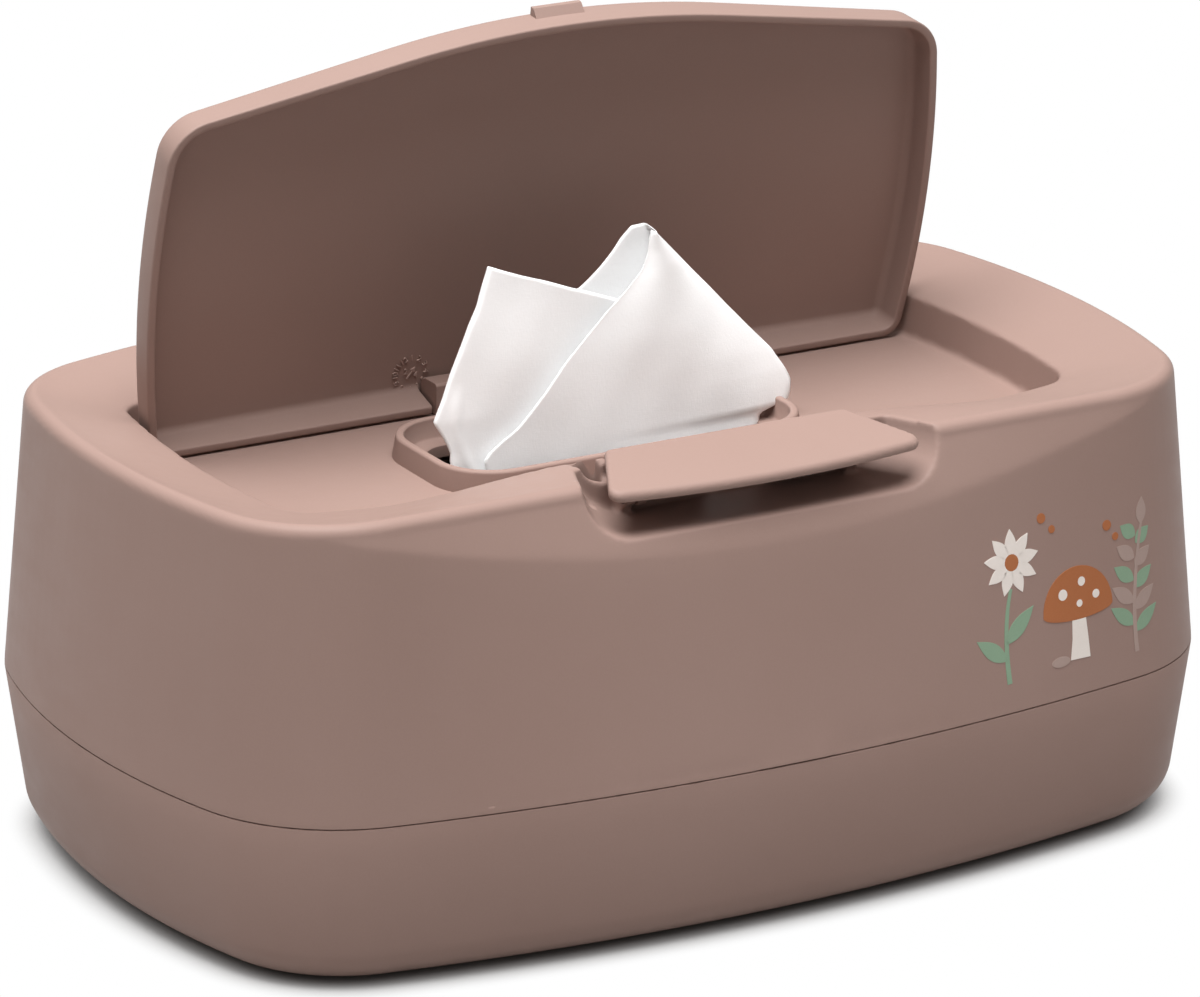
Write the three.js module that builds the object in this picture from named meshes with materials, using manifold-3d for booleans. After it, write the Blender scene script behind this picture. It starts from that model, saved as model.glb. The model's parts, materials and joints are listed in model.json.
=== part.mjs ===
import * as THREE from 'three';
import { mergeVertices } from 'three/addons/utils/BufferGeometryUtils.js';
import Module from 'manifold-3d';

// Baby wipes box: a tray, a lift-off cover with a recessed deck and a wipe slot,
// a sprung flip-up lid and a lever button that releases it.
// Millimetres, +Z up, +X to the right, the front with the button faces -Y.
// The origin is the middle of the footprint, on the surface that the feet stand on.

const wasm = await Module();
wasm.setup();

// Plan of the box at the seam between tray and cover
const box_width = 252.6;
const box_depth = 172;
const seam_front_arc = 468;
const seam_back_arc = 370;
const seam_side_arc = 184.6;
const seam_front_corner_radius = 37.7;
const seam_back_corner_radius = 43.9;

// Heights, with those of the cover's upper part measured up from its deck
const tray_floor_height = 1;
const seam_height = 37.7;
const deck_height = 84.8;
const rim_front_rise = 15.6;
const rim_back_rise = 14;
const rim_front_height = deck_height + rim_front_rise;
const rim_back_height = deck_height + rim_back_rise;

// Tray
const tray_taper = 4.8;
const tray_bottom_radius = 8.1;
const tray_wall = 2.4;
const seam_gap = 0.4;
const tongue_height = 4;
const tongue_thickness = 1.5;
const tongue_clearance = 0.4;
const floor_rib_height = 1.6;
const floor_rib_thickness = 2;
const floor_rib_spacing = 26;
const floor_rib_length = 84;
const floor_rib_count = 7;

// Anti-slip feet
const foot_diameter = 14;
const foot_thickness = 1.8;
const foot_fit = 0.3;
const foot_side_inset = 38.3;
const foot_end_inset = 34;
const foot_spacing_x = box_width - 2 * foot_side_inset;
const foot_spacing_y = box_depth - 2 * foot_end_inset;

// Cover shell: plan of the top edge
const top_side_inset = 6.2;
const top_front_inset = 15.05;
const top_back_inset = 9.3;
const top_front_arc = 8000;
const top_back_arc = 345;
const top_side_arc = 207;
const top_front_corner_radius = 28.9;
const top_back_corner_radius = 29;
const top_edge_radius = 2.6;
const shell_wall = 2.4;

// Crease across the front wall, and how far it stands out from a straight wall
const crease_drop = 1.1;
const crease_height = deck_height - crease_drop;
const crease_arc = 350;
const crease_stand_out = 2.7;

// Edge of the recess that the lid closes into
const recess_side_rise = 9.3;
const recess_back_rise = 8.6;
const recess_side_edge_height = deck_height + recess_side_rise;
const recess_back_edge_height = deck_height + recess_back_rise;
const front_hump_height = 5.6;
const front_hump_inner = 28;
const front_hump_outer = 75;
const recess_gap = 1;
const recess_surface_overlap = 1.5;
const recess_back_y = 41;
const recess_draft = 0.8;
const deck_thickness = 2.4;
const under_rib_height = 5;
const under_rib_thickness = 1.6;
const under_rib_y = 34;

// Lid
const lid_half_width = 95.5;
const lid_side_bow = 2.4;
const lid_corner_length = 77.8;
const lid_flank_angle = 9.5;
const lid_front_arc = 236;
const lid_corner_radius = 10.7;
const lid_rear_corner_radius = 5;
const lid_side_height = 8;
const lid_rear_crown = 1.2;
const lid_front_crown = 1.7;
const lid_edge_radius = 1.8;
const lid_wall = 1.9;
const lid_plate = 1.6;
const lid_draft = 0.6;

// Lid hinge: the pivot, seen from the lid's rear lower edge
const pivot_y = 32.2;
const pivot_rise = 5.6;
const pivot_height = deck_height + pivot_rise;
const rear_edge_behind_pivot = 4.3;
const lid_edge_below_pivot = 4.9;
const lid_open_lean = 11;
const lid_closed_rise = 1;
const hinge_pin_radius = 1;
const pin_clearance = 0.3;
const ear_radius = 3;
const ear_width = 5.8;
const ear_gap = 0.6;
const rear_edge_round = 1.6;
const sweep_clearance = 0.4;

// Hinge bracket on the deck
const bracket_half_width = 25;
const bracket_front = 5.4;
const bracket_radius = 2.3;
const bracket_window_half = 16;
const pin_end_depth = 0.5;
const seat_gap = 0.3;
const bracket_screw_spacing = 41;
const screw_radius = 1.2;
const screw_head_radius = 2.6;
const screw_head_height = 1.6;
const screw_bite = 2.6;

// Lid spring and button spring
const lid_spring_wire = 0.7;
const lid_spring_radius = 1.9;
const lid_spring_curls = 9;
const lid_spring_pitch = 1.3;
const lid_spring_leg = 9;
const lid_spring_foot = 4.2;
const button_spring_wire = 0.6;
const button_spring_radius = 2.3;
const button_spring_curls = 7;
const button_spring_pitch = 1.1;
const button_spring_leg = 4.6;
const button_spring_foot = 3.3;

// Wipe slot with its collar
const collar_half_width = 47;
const collar_half_depth = 21.5;
const collar_centre_y = -5.3;
const collar_corner_radius = 14;
const collar_height = 5;
const collar_wall = 2.6;
const collar_draft = 0.7;
const collar_edge = 0.9;
const ledge_drop = 2.8;
const ledge_width = 4.8;

// Catch on the lid's front edge
const catch_width = 11.7;
const catch_height = 3.4;
const catch_reach = 1.2;
const catch_below_top = 1.6;

// Finger pocket under the button
const pocket_half_width = 46.5;
const pocket_floor_rise = 3.7;
const pocket_floor_height = deck_height + pocket_floor_rise;
const pocket_corner_radius = 12;
const pocket_back_y = -57.8;
const pocket_back_narrowing = 3;
const pocket_back_rise = 1;
const pocket_wall = 2;

// Lever button
const button_back_y = -54.8;
const button_back_half = 28.8;
const button_lip_y = -73.4;
const button_lip_half = 38;
const button_lip_bow = 2.6;
const button_back_rise = 1.8;
const button_fall = 3;
const button_back_height = rim_front_height + button_back_rise;
const button_lip_height = button_back_height - button_fall;
const button_thickness = 2.6;
const button_corner_radius = 2.4;
const button_pivot_y = -61;
const button_pivot_rise = 4.9;
const button_pivot_height = pocket_floor_height + button_pivot_rise;
const button_pin_radius = 1.2;
const button_boss_radius = 2.8;
const cheek_offset = 23;
const cheek_thickness = 2.2;
const lug_thickness = 2.4;
const lug_gap = 0.6;
const hook_width = 9;
const hook_thickness = 1.8;
const hook_clearance = 0.3;
const button_rest_gap = 0.75;

// Wipes
const stack_width = 190;
const stack_depth = 104;
const stack_headroom = 42.8;
const stack_height = deck_height - stack_headroom;
const stack_corner_radius = 7;
const stack_crown = 2.5;

// Wipe standing up through the slot: edges and main fold line as x at heights above the deck
const wipe_thickness = 1.1;
const wipe_rises = [-34.6, -14.8, -2.8, 2.4, 5.6, 8.7, 11.7, 16.6, 24.2, 31.5, 35.2, 44.7, 48.6];
const wipe_left_edge = [-28, -32, -38.9, -38.9, -39.6, -42, -43, -41, -37, -34.5, -33, -29, -28];
const wipe_fold_line = [-8, -14, -24, -28, -26.5, -23.5, -20, -16, -8, -2, 1, 8, 10];
const wipe_right_edge = [30, 33, 38.9, 38.9, 40.4, 44.5, 43.5, 40, 33, 26.5, 23, 13.5, 10.5];
const wipe_left_peak_rise = 44.7;
const wipe_valley_rise = 36.2;
const wipe_right_peak_rise = 48.6;
const wipe_heights = wipe_rises.map((rise) => deck_height + rise);
const wipe_left_peak = deck_height + wipe_left_peak_rise;
const wipe_valley = deck_height + wipe_valley_rise;
const wipe_right_peak = deck_height + wipe_right_peak_rise;
const wipe_flap_drop = 5;
const wipe_lean_back = 6;
const wipe_fold_depth = 4.6;
const wipe_fold_width = 3;
const wipe_wave_depth = 1.3;

// Shares of the sizes that they follow
const wall_row_shares = [0, 0.34, 0.68, 1, 1.5, 2];
const wall_inner_shares = [0, 0.5, 1, 2];
const crease_most_share = 0.985;
const top_shares = [0, 0.25, 0.5, 0.75, 1];
const top_fall_power = 0.85;
const crown_shares = [0.75, 0.5, 0.25];
const bracket_arc_share = 1.06;
const lip_arc_share = 0.9;
const button_round_share = 0.8;
const ray_slack_share = 0.001;
const least_corner_share = 0.2;
const stack_crown_shares = [1, 0.98, 0.88, 0.66, 0.33];
const wipe_valley_share = 0.64;
const wipe_wave_count = 3;

// One overrun serves every cut, and curves share these step counts
const overrun = 6;
const arc_steps = 7;
const round_steps = 3;
const pin_sides = 20;
const lid_rear_parts = 10;
const wipe_columns = 11;
const wipe_rows = 20;
const spring_sides = 5;
const curl_steps = 8;
const full_turn = 2 * Math.PI;
const quarter_turn = Math.PI / 2;

function rad(degrees) {
  return THREE.MathUtils.degToRad(degrees);
}

// Plan outlines made of five arcs on each side: front, corner, side, corner, back

function cornerCentre(frontCentreY, frontRadius, sideCentreX, sideRadius, cornerRadius, sign) {
  const from = new THREE.Vector2(0, frontCentreY);
  const to = new THREE.Vector2(sideCentreX, 0);
  const reachFrom = frontRadius - cornerRadius;
  const reachTo = sideRadius - cornerRadius;
  const span = to.clone().sub(from);
  const distance = span.length();
  const along = (reachFrom ** 2 - reachTo ** 2 + distance ** 2) / (2 * distance);
  const across = Math.sqrt(Math.max(reachFrom ** 2 - along ** 2, 0));
  span.normalize();
  const normal = new THREE.Vector2(-span.y, span.x);
  const base = from.clone().addScaledVector(span, along);
  const one = base.clone().addScaledVector(normal, across);
  const other = base.clone().addScaledVector(normal, -across);
  return one.x + sign * one.y > other.x + sign * other.y ? one : other;
}

function arcPoints(centre, radius, from, to, steps) {
  const points = [];
  for (let i = 0; i < steps; i += 1) {
    const angle = from + ((to - from) * i) / steps;
    const x = centre.x + radius * Math.cos(angle);
    const y = centre.y + radius * Math.sin(angle);
    points.push(new THREE.Vector2(x, y));
  }
  return points;
}

function planOutline(plan, inset) {
  const front = plan.front + inset;
  const back = plan.back - inset;
  const frontArc = plan.frontArc - inset;
  const backArc = plan.backArc - inset;
  const sideArc = plan.sideArc - inset;
  const sideCentre = new THREE.Vector2(plan.halfWidth - inset - sideArc, 0);
  const frontCentre = new THREE.Vector2(0, front + frontArc);
  const backCentre = new THREE.Vector2(0, back - backArc);
  const frontCorner = plan.frontCorner - inset;
  const backCorner = plan.backCorner - inset;
  const cornerF = cornerCentre(frontCentre.y, frontArc, sideCentre.x, sideArc, frontCorner, -1);
  const cornerB = cornerCentre(backCentre.y, backArc, sideCentre.x, sideArc, backCorner, 1);
  const turnF = cornerF.clone().sub(frontCentre).angle() - full_turn;
  const turnS = cornerF.clone().sub(sideCentre).angle() - full_turn;
  const turnT = cornerB.clone().sub(sideCentre).angle();
  const turnB = cornerB.clone().sub(backCentre).angle();
  const half = [
    ...arcPoints(frontCentre, frontArc, -quarter_turn, turnF, arc_steps),
    ...arcPoints(cornerF, frontCorner, turnF, turnS, arc_steps),
    ...arcPoints(sideCentre, sideArc, turnS, turnT, arc_steps),
    ...arcPoints(cornerB, backCorner, turnT, turnB, arc_steps),
    ...arcPoints(backCentre, backArc, turnB, quarter_turn, arc_steps),
    new THREE.Vector2(0, back),
  ];
  const mirrored = half.slice(1, -1).reverse().map((p) => new THREE.Vector2(-p.x, p.y));
  return [...half, ...mirrored];
}

// Convex polygons with rounded corners, given as x, y, radius and the parts of the edge that follows

function grown(corners, distance) {
  const count = corners.length;
  const lines = corners.map((corner, i) => {
    const next = corners[(i + 1) % count];
    const direction = new THREE.Vector2(next[0] - corner[0], next[1] - corner[1]).normalize();
    const out = new THREE.Vector2(direction.y, -direction.x);
    const start = new THREE.Vector2(corner[0], corner[1]).addScaledVector(out, distance);
    return { start, direction };
  });
  return corners.map((corner, i) => {
    const before = lines[(i + count - 1) % count];
    const after = lines[i];
    const gap = after.start.clone().sub(before.start);
    const turn = before.direction.cross(after.direction);
    const reach = gap.cross(after.direction) / turn;
    const point = before.start.clone().addScaledVector(before.direction, reach);
    const radius = Math.max(corner[2] + distance, least_corner_share * corner[2]);
    return [point.x, point.y, radius, corner[3]];
  });
}

function rounded(corners, steps) {
  const points = [];
  const count = corners.length;
  corners.forEach((corner, i) => {
    const here = new THREE.Vector2(corner[0], corner[1]);
    const before = corners[(i + count - 1) % count];
    const after = corners[(i + 1) % count];
    const back = new THREE.Vector2(before[0], before[1]).sub(here).normalize();
    const forth = new THREE.Vector2(after[0], after[1]).sub(here).normalize();
    const half = Math.acos(THREE.MathUtils.clamp(back.dot(forth), -1, 1)) / 2;
    const middle = back.clone().add(forth).normalize();
    const centre = here.clone().addScaledVector(middle, corner[2] / Math.sin(half));
    const start = new THREE.Vector2(-back.y, back.x).angle();
    const sweep = Math.PI - 2 * half;
    for (let k = 0; k <= steps; k += 1) {
      const angle = start + (sweep * k) / steps;
      const x = centre.x + corner[2] * Math.cos(angle);
      const y = centre.y + corner[2] * Math.sin(angle);
      points.push(new THREE.Vector2(x, y));
    }
  });
  const arc = steps + 1;
  return corners.flatMap((corner, i) => {
    const own = points.slice(i * arc, (i + 1) * arc);
    const next = points[((i + 1) % count) * arc];
    const parts = corner[3] ?? 1;
    const between = [];
    for (let k = 1; k < parts; k += 1) between.push(own[steps].clone().lerp(next, k / parts));
    return [...own, ...between];
  });
}

function roundedRectangle(halfWidth, halfDepth, centreY, radius) {
  return [
    [-halfWidth, centreY - halfDepth, radius],
    [halfWidth, centreY - halfDepth, radius],
    [halfWidth, centreY + halfDepth, radius],
    [-halfWidth, centreY + halfDepth, radius],
  ];
}

// Solids

function toSolid(geometry) {
  const plain = geometry.clone();
  plain.deleteAttribute('normal');
  plain.deleteAttribute('uv');
  const merged = mergeVertices(plain);
  return new wasm.Manifold(new wasm.Mesh({
    numProp: 3,
    vertProperties: Float32Array.from(merged.attributes.position.array),
    triVerts: Uint32Array.from(merged.index.array),
  }));
}

function ringMiddle(ring) {
  const sum = new THREE.Vector3();
  ring.forEach((p) => sum.add(p));
  return sum.divideScalar(ring.length);
}

// A loft through closed rings of equally many points, counter-clockwise seen from above
function loft(rings) {
  const count = rings[0].length;
  const positions = [];
  const index = [];
  rings.forEach((ring) => ring.forEach((p) => positions.push(p.x, p.y, p.z)));
  for (let r = 0; r + 1 < rings.length; r += 1) {
    for (let i = 0; i < count; i += 1) {
      const j = (i + 1) % count;
      const a = r * count;
      const b = a + count;
      index.push(a + i, a + j, b + j, a + i, b + j, b + i);
    }
  }
  const low = rings.length * count;
  const high = low + 1;
  const first = ringMiddle(rings[0]);
  const last = ringMiddle(rings[rings.length - 1]);
  positions.push(first.x, first.y, first.z, last.x, last.y, last.z);
  const top = (rings.length - 1) * count;
  for (let i = 0; i < count; i += 1) {
    const j = (i + 1) % count;
    index.push(low, j, i, high, top + i, top + j);
  }
  const geometry = new THREE.BufferGeometry();
  geometry.setAttribute('position', new THREE.Float32BufferAttribute(positions, 3));
  geometry.setIndex(index);
  return toSolid(geometry);
}

function level(outline, z) {
  return outline.map((p) => new THREE.Vector3(p.x, p.y, z));
}

// A profile of y and z points, extruded along X
function barAlongX(profile, low, high) {
  const shape = new THREE.Shape(profile.map(([y, z]) => new THREE.Vector2(y, z)));
  const geometry = new THREE.ExtrudeGeometry(shape, { depth: high - low, bevelEnabled: false });
  const turn = new THREE.Matrix4().makeBasis(
    new THREE.Vector3(0, 1, 0),
    new THREE.Vector3(0, 0, 1),
    new THREE.Vector3(1, 0, 0),
  );
  geometry.applyMatrix4(turn);
  geometry.translate(low, 0, 0);
  return toSolid(geometry);
}

function block(x0, x1, y0, y1, z0, z1) {
  const geometry = new THREE.BoxGeometry(x1 - x0, y1 - y0, z1 - z0);
  geometry.translate((x0 + x1) / 2, (y0 + y1) / 2, (z0 + z1) / 2);
  return toSolid(geometry);
}

function rodAlongX(radius, x0, x1, y, z) {
  const geometry = new THREE.CylinderGeometry(radius, radius, x1 - x0, pin_sides);
  geometry.rotateZ(quarter_turn);
  geometry.translate((x0 + x1) / 2, y, z);
  return toSolid(geometry);
}

function rodAlongZ(radius, x, y, z0, z1) {
  const geometry = new THREE.CylinderGeometry(radius, radius, z1 - z0, pin_sides);
  geometry.rotateX(quarter_turn);
  geometry.translate(x, y, (z0 + z1) / 2);
  return toSolid(geometry);
}

function meshOf(name, shape, material) {
  const mesh = shape.getMesh();
  const geometry = new THREE.BufferGeometry();
  geometry.setAttribute('position', new THREE.BufferAttribute(Float32Array.from(mesh.vertProperties), 3));
  geometry.setIndex(new THREE.BufferAttribute(Uint32Array.from(mesh.triVerts), 1));
  const result = new THREE.Mesh(geometry, material);
  result.name = name;
  return result;
}

// Plans

const seamPlan = {
  halfWidth: box_width / 2,
  front: -box_depth / 2,
  back: box_depth / 2,
  frontArc: seam_front_arc,
  backArc: seam_back_arc,
  sideArc: seam_side_arc,
  frontCorner: seam_front_corner_radius,
  backCorner: seam_back_corner_radius,
};

const topPlan = {
  halfWidth: box_width / 2 - top_side_inset,
  front: -box_depth / 2 + top_front_inset,
  back: box_depth / 2 - top_back_inset,
  frontArc: top_front_arc,
  backArc: top_back_arc,
  sideArc: top_side_arc,
  frontCorner: top_front_corner_radius,
  backCorner: top_back_corner_radius,
};

// Lid outline in plan, lid closed: its rear edge lies behind the pivot
const lid_rear_y = pivot_y + rear_edge_behind_pivot;
const lidEndHalf = lid_half_width - lid_side_bow;
const lidBulgeHalf = lid_half_width + lid_side_bow;
const lidMiddleY = lid_rear_y - lid_corner_length / 2;
const lidCornerY = lid_rear_y - lid_corner_length;
const lidPointY = lidCornerY - lidEndHalf * Math.tan(rad(lid_flank_angle));
const lidFrontY = lidPointY + lid_front_arc * (1 / Math.cos(rad(lid_flank_angle)) - 1);
const lidSideArc = ((lid_corner_length / 2 - lid_corner_radius) * lid_corner_length) / (4 * lid_side_bow);
const lidCorners = [
  [0, lidPointY, lid_front_arc],
  [lidEndHalf, lidCornerY, lid_corner_radius],
  [lidBulgeHalf, lidMiddleY, lidSideArc],
  [lidEndHalf, lid_rear_y, lid_rear_corner_radius, lid_rear_parts],
  [-lidEndHalf, lid_rear_y, lid_rear_corner_radius],
  [-lidBulgeHalf, lidMiddleY, lidSideArc],
  [-lidEndHalf, lidCornerY, lid_corner_radius],
];

// The recess follows the lid with a gap, and runs on behind it as far as the lid swings
const recessCorners = grown(lidCorners, recess_gap).map(([x, y, radius]) => {
  const behind = y > lidMiddleY + recess_gap;
  return [x, behind ? recess_back_y : y, radius];
});

function largest(solid) {
  return solid.decompose().reduce((a, b) => (a.volume() > b.volume() ? a : b));
}

function smooth(value, from, to) {
  return THREE.MathUtils.smoothstep(value, from, to);
}

// Height of the top surface along the edge of the recess
function recessEdgeHeight(x, y) {
  const side = Math.abs(x);
  if (y < lidMiddleY) {
    const hump = 1 - smooth(side, front_hump_inner, front_hump_outer);
    return recess_side_edge_height + front_hump_height * hump;
  }
  const back = 1 - smooth(side, front_hump_outer, lid_half_width);
  const behind = smooth(y, lidMiddleY, recess_back_y);
  return recess_side_edge_height + (recess_back_edge_height - recess_side_edge_height) * back * behind;
}

// Height of the box's top edge, which falls a little towards the back
function rimHeight(y) {
  const share = (y - topPlan.front) / (topPlan.back - topPlan.front);
  return THREE.MathUtils.lerp(rim_front_height, rim_back_height, share);
}

// The outer wall rises from the seam outline to the top outline, with a crease across the front
const wall_base = seam_height + seam_gap / 2;
const wall_top = rim_front_height - top_edge_radius;
const crease_half_width = Math.sqrt(2 * crease_arc * (wall_top - crease_height));

function creaseShare(x, y) {
  const rise = crease_height - wall_base + (y < 0 ? x ** 2 / (2 * crease_arc) : 0);
  return Math.min(rise / (wall_top - wall_base), crease_most_share);
}

function wallRing(inset, shareOf) {
  const high = planOutline(topPlan, inset);
  return planOutline(seamPlan, inset).map((low, i) => {
    const crease = creaseShare(high[i].x, high[i].y);
    const share = shareOf(crease);
    const bulge = share < crease ? share / crease : (1 - share) / (1 - crease);
    const across = Math.max(1 - (high[i].x / crease_half_width) ** 2, 0);
    const point = low.clone().lerp(high[i], share);
    if (high[i].y < 0) point.y -= crease_stand_out * across * bulge;
    const top = rimHeight(high[i].y) - top_edge_radius;
    return new THREE.Vector3(point.x, point.y, THREE.MathUtils.lerp(wall_base, top, share));
  });
}

// Where a ray from the middle of the recess leaves a convex outline
function rayHit(outline, direction) {
  const count = outline.length;
  for (let i = 0; i < count; i += 1) {
    const a = outline[i].clone();
    a.y -= lidMiddleY;
    const b = outline[(i + 1) % count].clone();
    b.y -= lidMiddleY;
    const edge = b.clone().sub(a);
    const turn = direction.cross(edge);
    if (turn > 0) {
      const along = a.cross(direction) / turn;
      if (along >= -ray_slack_share && along <= 1 + ray_slack_share) {
        return new THREE.Vector2(a.x + edge.x * along, a.y + edge.y * along + lidMiddleY);
      }
    }
  }
  throw new Error('the recess outline is open');
}

// The top surface runs from the rounded top edge down to the edge of the recess
function topRings(inset, drop) {
  const outer = planOutline(topPlan, inset);
  const edge = rounded(grown(recessCorners, -recess_surface_overlap), arc_steps);
  const inner = outer.map((p) => rayHit(edge, new THREE.Vector2(p.x, p.y - lidMiddleY)));
  return top_shares.map((share) => outer.map((p, i) => {
    const point = p.clone().lerp(inner[i], share);
    const high = rimHeight(p.y);
    const low = recessEdgeHeight(inner[i].x, inner[i].y);
    const z = THREE.MathUtils.lerp(high, low, share ** top_fall_power) - drop;
    return new THREE.Vector3(point.x, point.y, z);
  }));
}

function coverOuter() {
  const rings = wall_row_shares.map((row) => wallRing(0, (crease) => (
    row < 1 ? row * crease : crease + (row - 1) * (1 - crease)
  )));
  for (let k = 1; k <= round_steps; k += 1) {
    const turn = (quarter_turn * k) / round_steps;
    const inset = top_edge_radius * (1 - Math.cos(turn));
    const rise = top_edge_radius * (Math.sin(turn) - 1);
    if (k < round_steps) rings.push(planOutline(topPlan, inset).map((q) => (
      new THREE.Vector3(q.x, q.y, rimHeight(q.y) + rise)
    )));
  }
  return loft([...rings, ...topRings(top_edge_radius, 0)]);
}

function coverInner() {
  const below = wallRing(shell_wall, () => 0).map((q) => new THREE.Vector3(q.x, q.y, q.z - overrun));
  const rings = wall_inner_shares.map((row) => wallRing(shell_wall, (crease) => (
    row < 1 ? row * crease : crease + (row - 1) * (1 - crease)
  )));
  return loft([below, ...rings, ...topRings(shell_wall + top_edge_radius, shell_wall)]);
}

// The lid's recess, widening a little upwards
function recess(extra, low) {
  const high = rim_front_height + overrun;
  const draft = (z) => recess_draft * ((z - deck_height) / (recess_side_edge_height - deck_height) - 1);
  const outline = (z) => level(rounded(grown(recessCorners, extra + draft(z)), arc_steps), z);
  return loft([outline(low), outline(high)]);
}

// The finger pocket is cut through the front wall and rounds off towards its bottom
function pocket(extra) {
  const reach = box_depth / 2 + overrun;
  const outline = (narrow, rise) => {
    const half = pocket_half_width - narrow + extra;
    const low = pocket_floor_height + rise - extra;
    const high = rim_front_height + 2 * overrun;
    const radius = pocket_corner_radius + extra;
    const corners = [[-half, low, radius], [half, low, radius], [half, high, radius], [-half, high, radius]];
    return rounded(corners, arc_steps);
  };
  const front = outline(0, 0).map((q) => new THREE.Vector3(q.x, -reach, q.y));
  const back = outline(pocket_back_narrowing, pocket_back_rise)
    .map((q) => new THREE.Vector3(q.x, pocket_back_y + extra, q.y));
  return loft([back, front]);
}

// Collar round the wipe slot: drafted outside, with a ledge inside
function ovalRing(inset, z) {
  const corners = roundedRectangle(
    collar_half_width - inset,
    collar_half_depth - inset,
    collar_centre_y,
    collar_corner_radius - inset,
  );
  return level(rounded(corners, arc_steps), z);
}

const collar_top = deck_height + collar_height;
const ledge_height = collar_top - ledge_drop;
const slot_inset = collar_wall + ledge_width;

function collar() {
  const outer = loft([
    ovalRing(0, deck_height - deck_thickness),
    ovalRing(0, deck_height),
    ovalRing(collar_draft, collar_top - collar_edge),
    ovalRing(collar_draft + collar_edge / 2, collar_top),
  ]);
  const well = loft([
    ovalRing(collar_wall + collar_draft, ledge_height),
    ovalRing(collar_wall, collar_top + overrun),
  ]);
  return outer.subtract(well);
}

function slot() {
  return loft([
    ovalRing(slot_inset, deck_height - deck_thickness - overrun),
    ovalRing(slot_inset, collar_top + overrun),
  ]);
}

// Bearing lugs for the button's pin, standing from the back of the pocket
function buttonLugs() {
  const profile = [];
  for (let k = 0; k <= pin_sides / 2; k += 1) {
    const turn = quarter_turn + (Math.PI * k) / (pin_sides / 2);
    const y = button_pivot_y + button_boss_radius * Math.cos(turn);
    profile.push([y, button_pivot_height + button_boss_radius * Math.sin(turn)]);
  }
  const low = pocket_floor_height + pocket_back_rise;
  profile.push([button_pivot_y, low - pocket_wall / 2]);
  profile.push([pocket_back_y + pocket_wall / 2, low - pocket_wall / 2]);
  profile.push([pocket_back_y + pocket_wall / 2, button_pivot_height + button_boss_radius]);
  const inner = cheek_offset + cheek_thickness + lug_gap;
  const right = barAlongX(profile, inner, inner + lug_thickness);
  const left = barAlongX(profile, -inner - lug_thickness, -inner);
  return right.add(left);
}

function buttonPinHole() {
  const radius = button_pin_radius + pin_clearance;
  return rodAlongX(radius, -pocket_half_width, pocket_half_width, button_pivot_y, button_pivot_height);
}

function hingePinHole() {
  const radius = hinge_pin_radius + pin_clearance;
  const half = bracket_half_width + overrun;
  return rodAlongX(radius, -half, half, pivot_y, pivot_height);
}

// Screw bosses and stiffening ribs under the deck
function underside() {
  const low = deck_height - deck_thickness;
  const bossRadius = 2 * screw_head_radius - screw_radius;
  const boss = (x) => rodAlongZ(bossRadius, x, pivot_y, low - under_rib_height, low);
  const half = lid_half_width - recess_draft;
  const ribLow = low - under_rib_height;
  const ribHigh = low + deck_thickness / 2;
  const rib = (y) => block(-half, half, y, y + under_rib_thickness, ribLow, ribHigh);
  return boss(bracket_screw_spacing / 2)
    .add(boss(-bracket_screw_spacing / 2))
    .add(rib(collar_centre_y - under_rib_y))
    .add(rib(collar_centre_y + under_rib_y - under_rib_thickness));
}

function upperShell() {
  const wells = recess(shell_wall, deck_height - deck_thickness).add(pocket(pocket_wall));
  const hollow = largest(coverInner().subtract(wells));
  const shell = coverOuter().subtract(hollow).subtract(recess(0, deck_height)).subtract(pocket(0));
  const widening = (button_lip_half - button_back_half) / (button_back_y - button_lip_y);
  const seatHalf = button_back_half + widening * (button_back_y - pocket_back_y) + button_rest_gap;
  const seatLow = button_back_height - button_thickness - button_rest_gap;
  const seatFront = pocket_back_y - overrun / 2;
  const seat = block(-seatHalf, seatHalf, seatFront, lidFrontY, seatLow, seatLow + overrun);
  const notchHalf = catch_width / 2 + recess_gap;
  const notchLow = pivot_height - lid_edge_below_pivot + lid_side_height - catch_height;
  const notch = block(-notchHalf, notchHalf, seatFront, lidFrontY, notchLow, seatLow + overrun);
  const sweep = Math.hypot(rear_edge_behind_pivot, lid_edge_below_pivot) - rear_edge_round * (Math.SQRT2 - 1);
  const groove = rodAlongX(sweep + sweep_clearance, -lidEndHalf, lidEndHalf, pivot_y, pivot_height);
  const bracketBed = block(
    -bracket_half_width - ear_gap / 2,
    bracket_half_width + ear_gap / 2,
    pivot_y - overrun,
    recess_back_y - recess_gap,
    deck_height - deck_thickness / 2,
    deck_height,
  );
  const screwHole = (x) => (
    rodAlongZ(screw_radius + pin_clearance, x, pivot_y, wall_base, rim_front_height)
  );
  const screwHoles = screwHole(bracket_screw_spacing / 2).add(screwHole(-bracket_screw_spacing / 2));
  const pinHole = buttonPinHole();
  const whole = shell
    .subtract(seat)
    .subtract(notch)
    .subtract(groove)
    .add(bracketBed)
    .add(collar())
    .add(underside())
    .subtract(slot())
    .subtract(screwHoles)
    .add(buttonLugs())
    .subtract(pinHole);
  return largest(whole);
}

// Lid, modelled closed and level, then opened about its pivot
const lid_edge_height = pivot_height - lid_edge_below_pivot;

function lidHeight(x, y) {
  const towards = THREE.MathUtils.clamp((lid_rear_y - y) / (lid_rear_y - lidFrontY), 0, 1);
  const crown = THREE.MathUtils.lerp(lid_rear_crown, lid_front_crown, towards);
  return lid_side_height + crown * (1 - (x / lid_half_width) ** 2);
}

function crowned(outline, drop) {
  return outline.map((p) => new THREE.Vector3(p.x, p.y, lid_edge_height + lidHeight(p.x, p.y) - drop));
}

function shrunk(outline, share) {
  return outline.map((p) => new THREE.Vector2(p.x * share, lidMiddleY + (p.y - lidMiddleY) * share));
}

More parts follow.
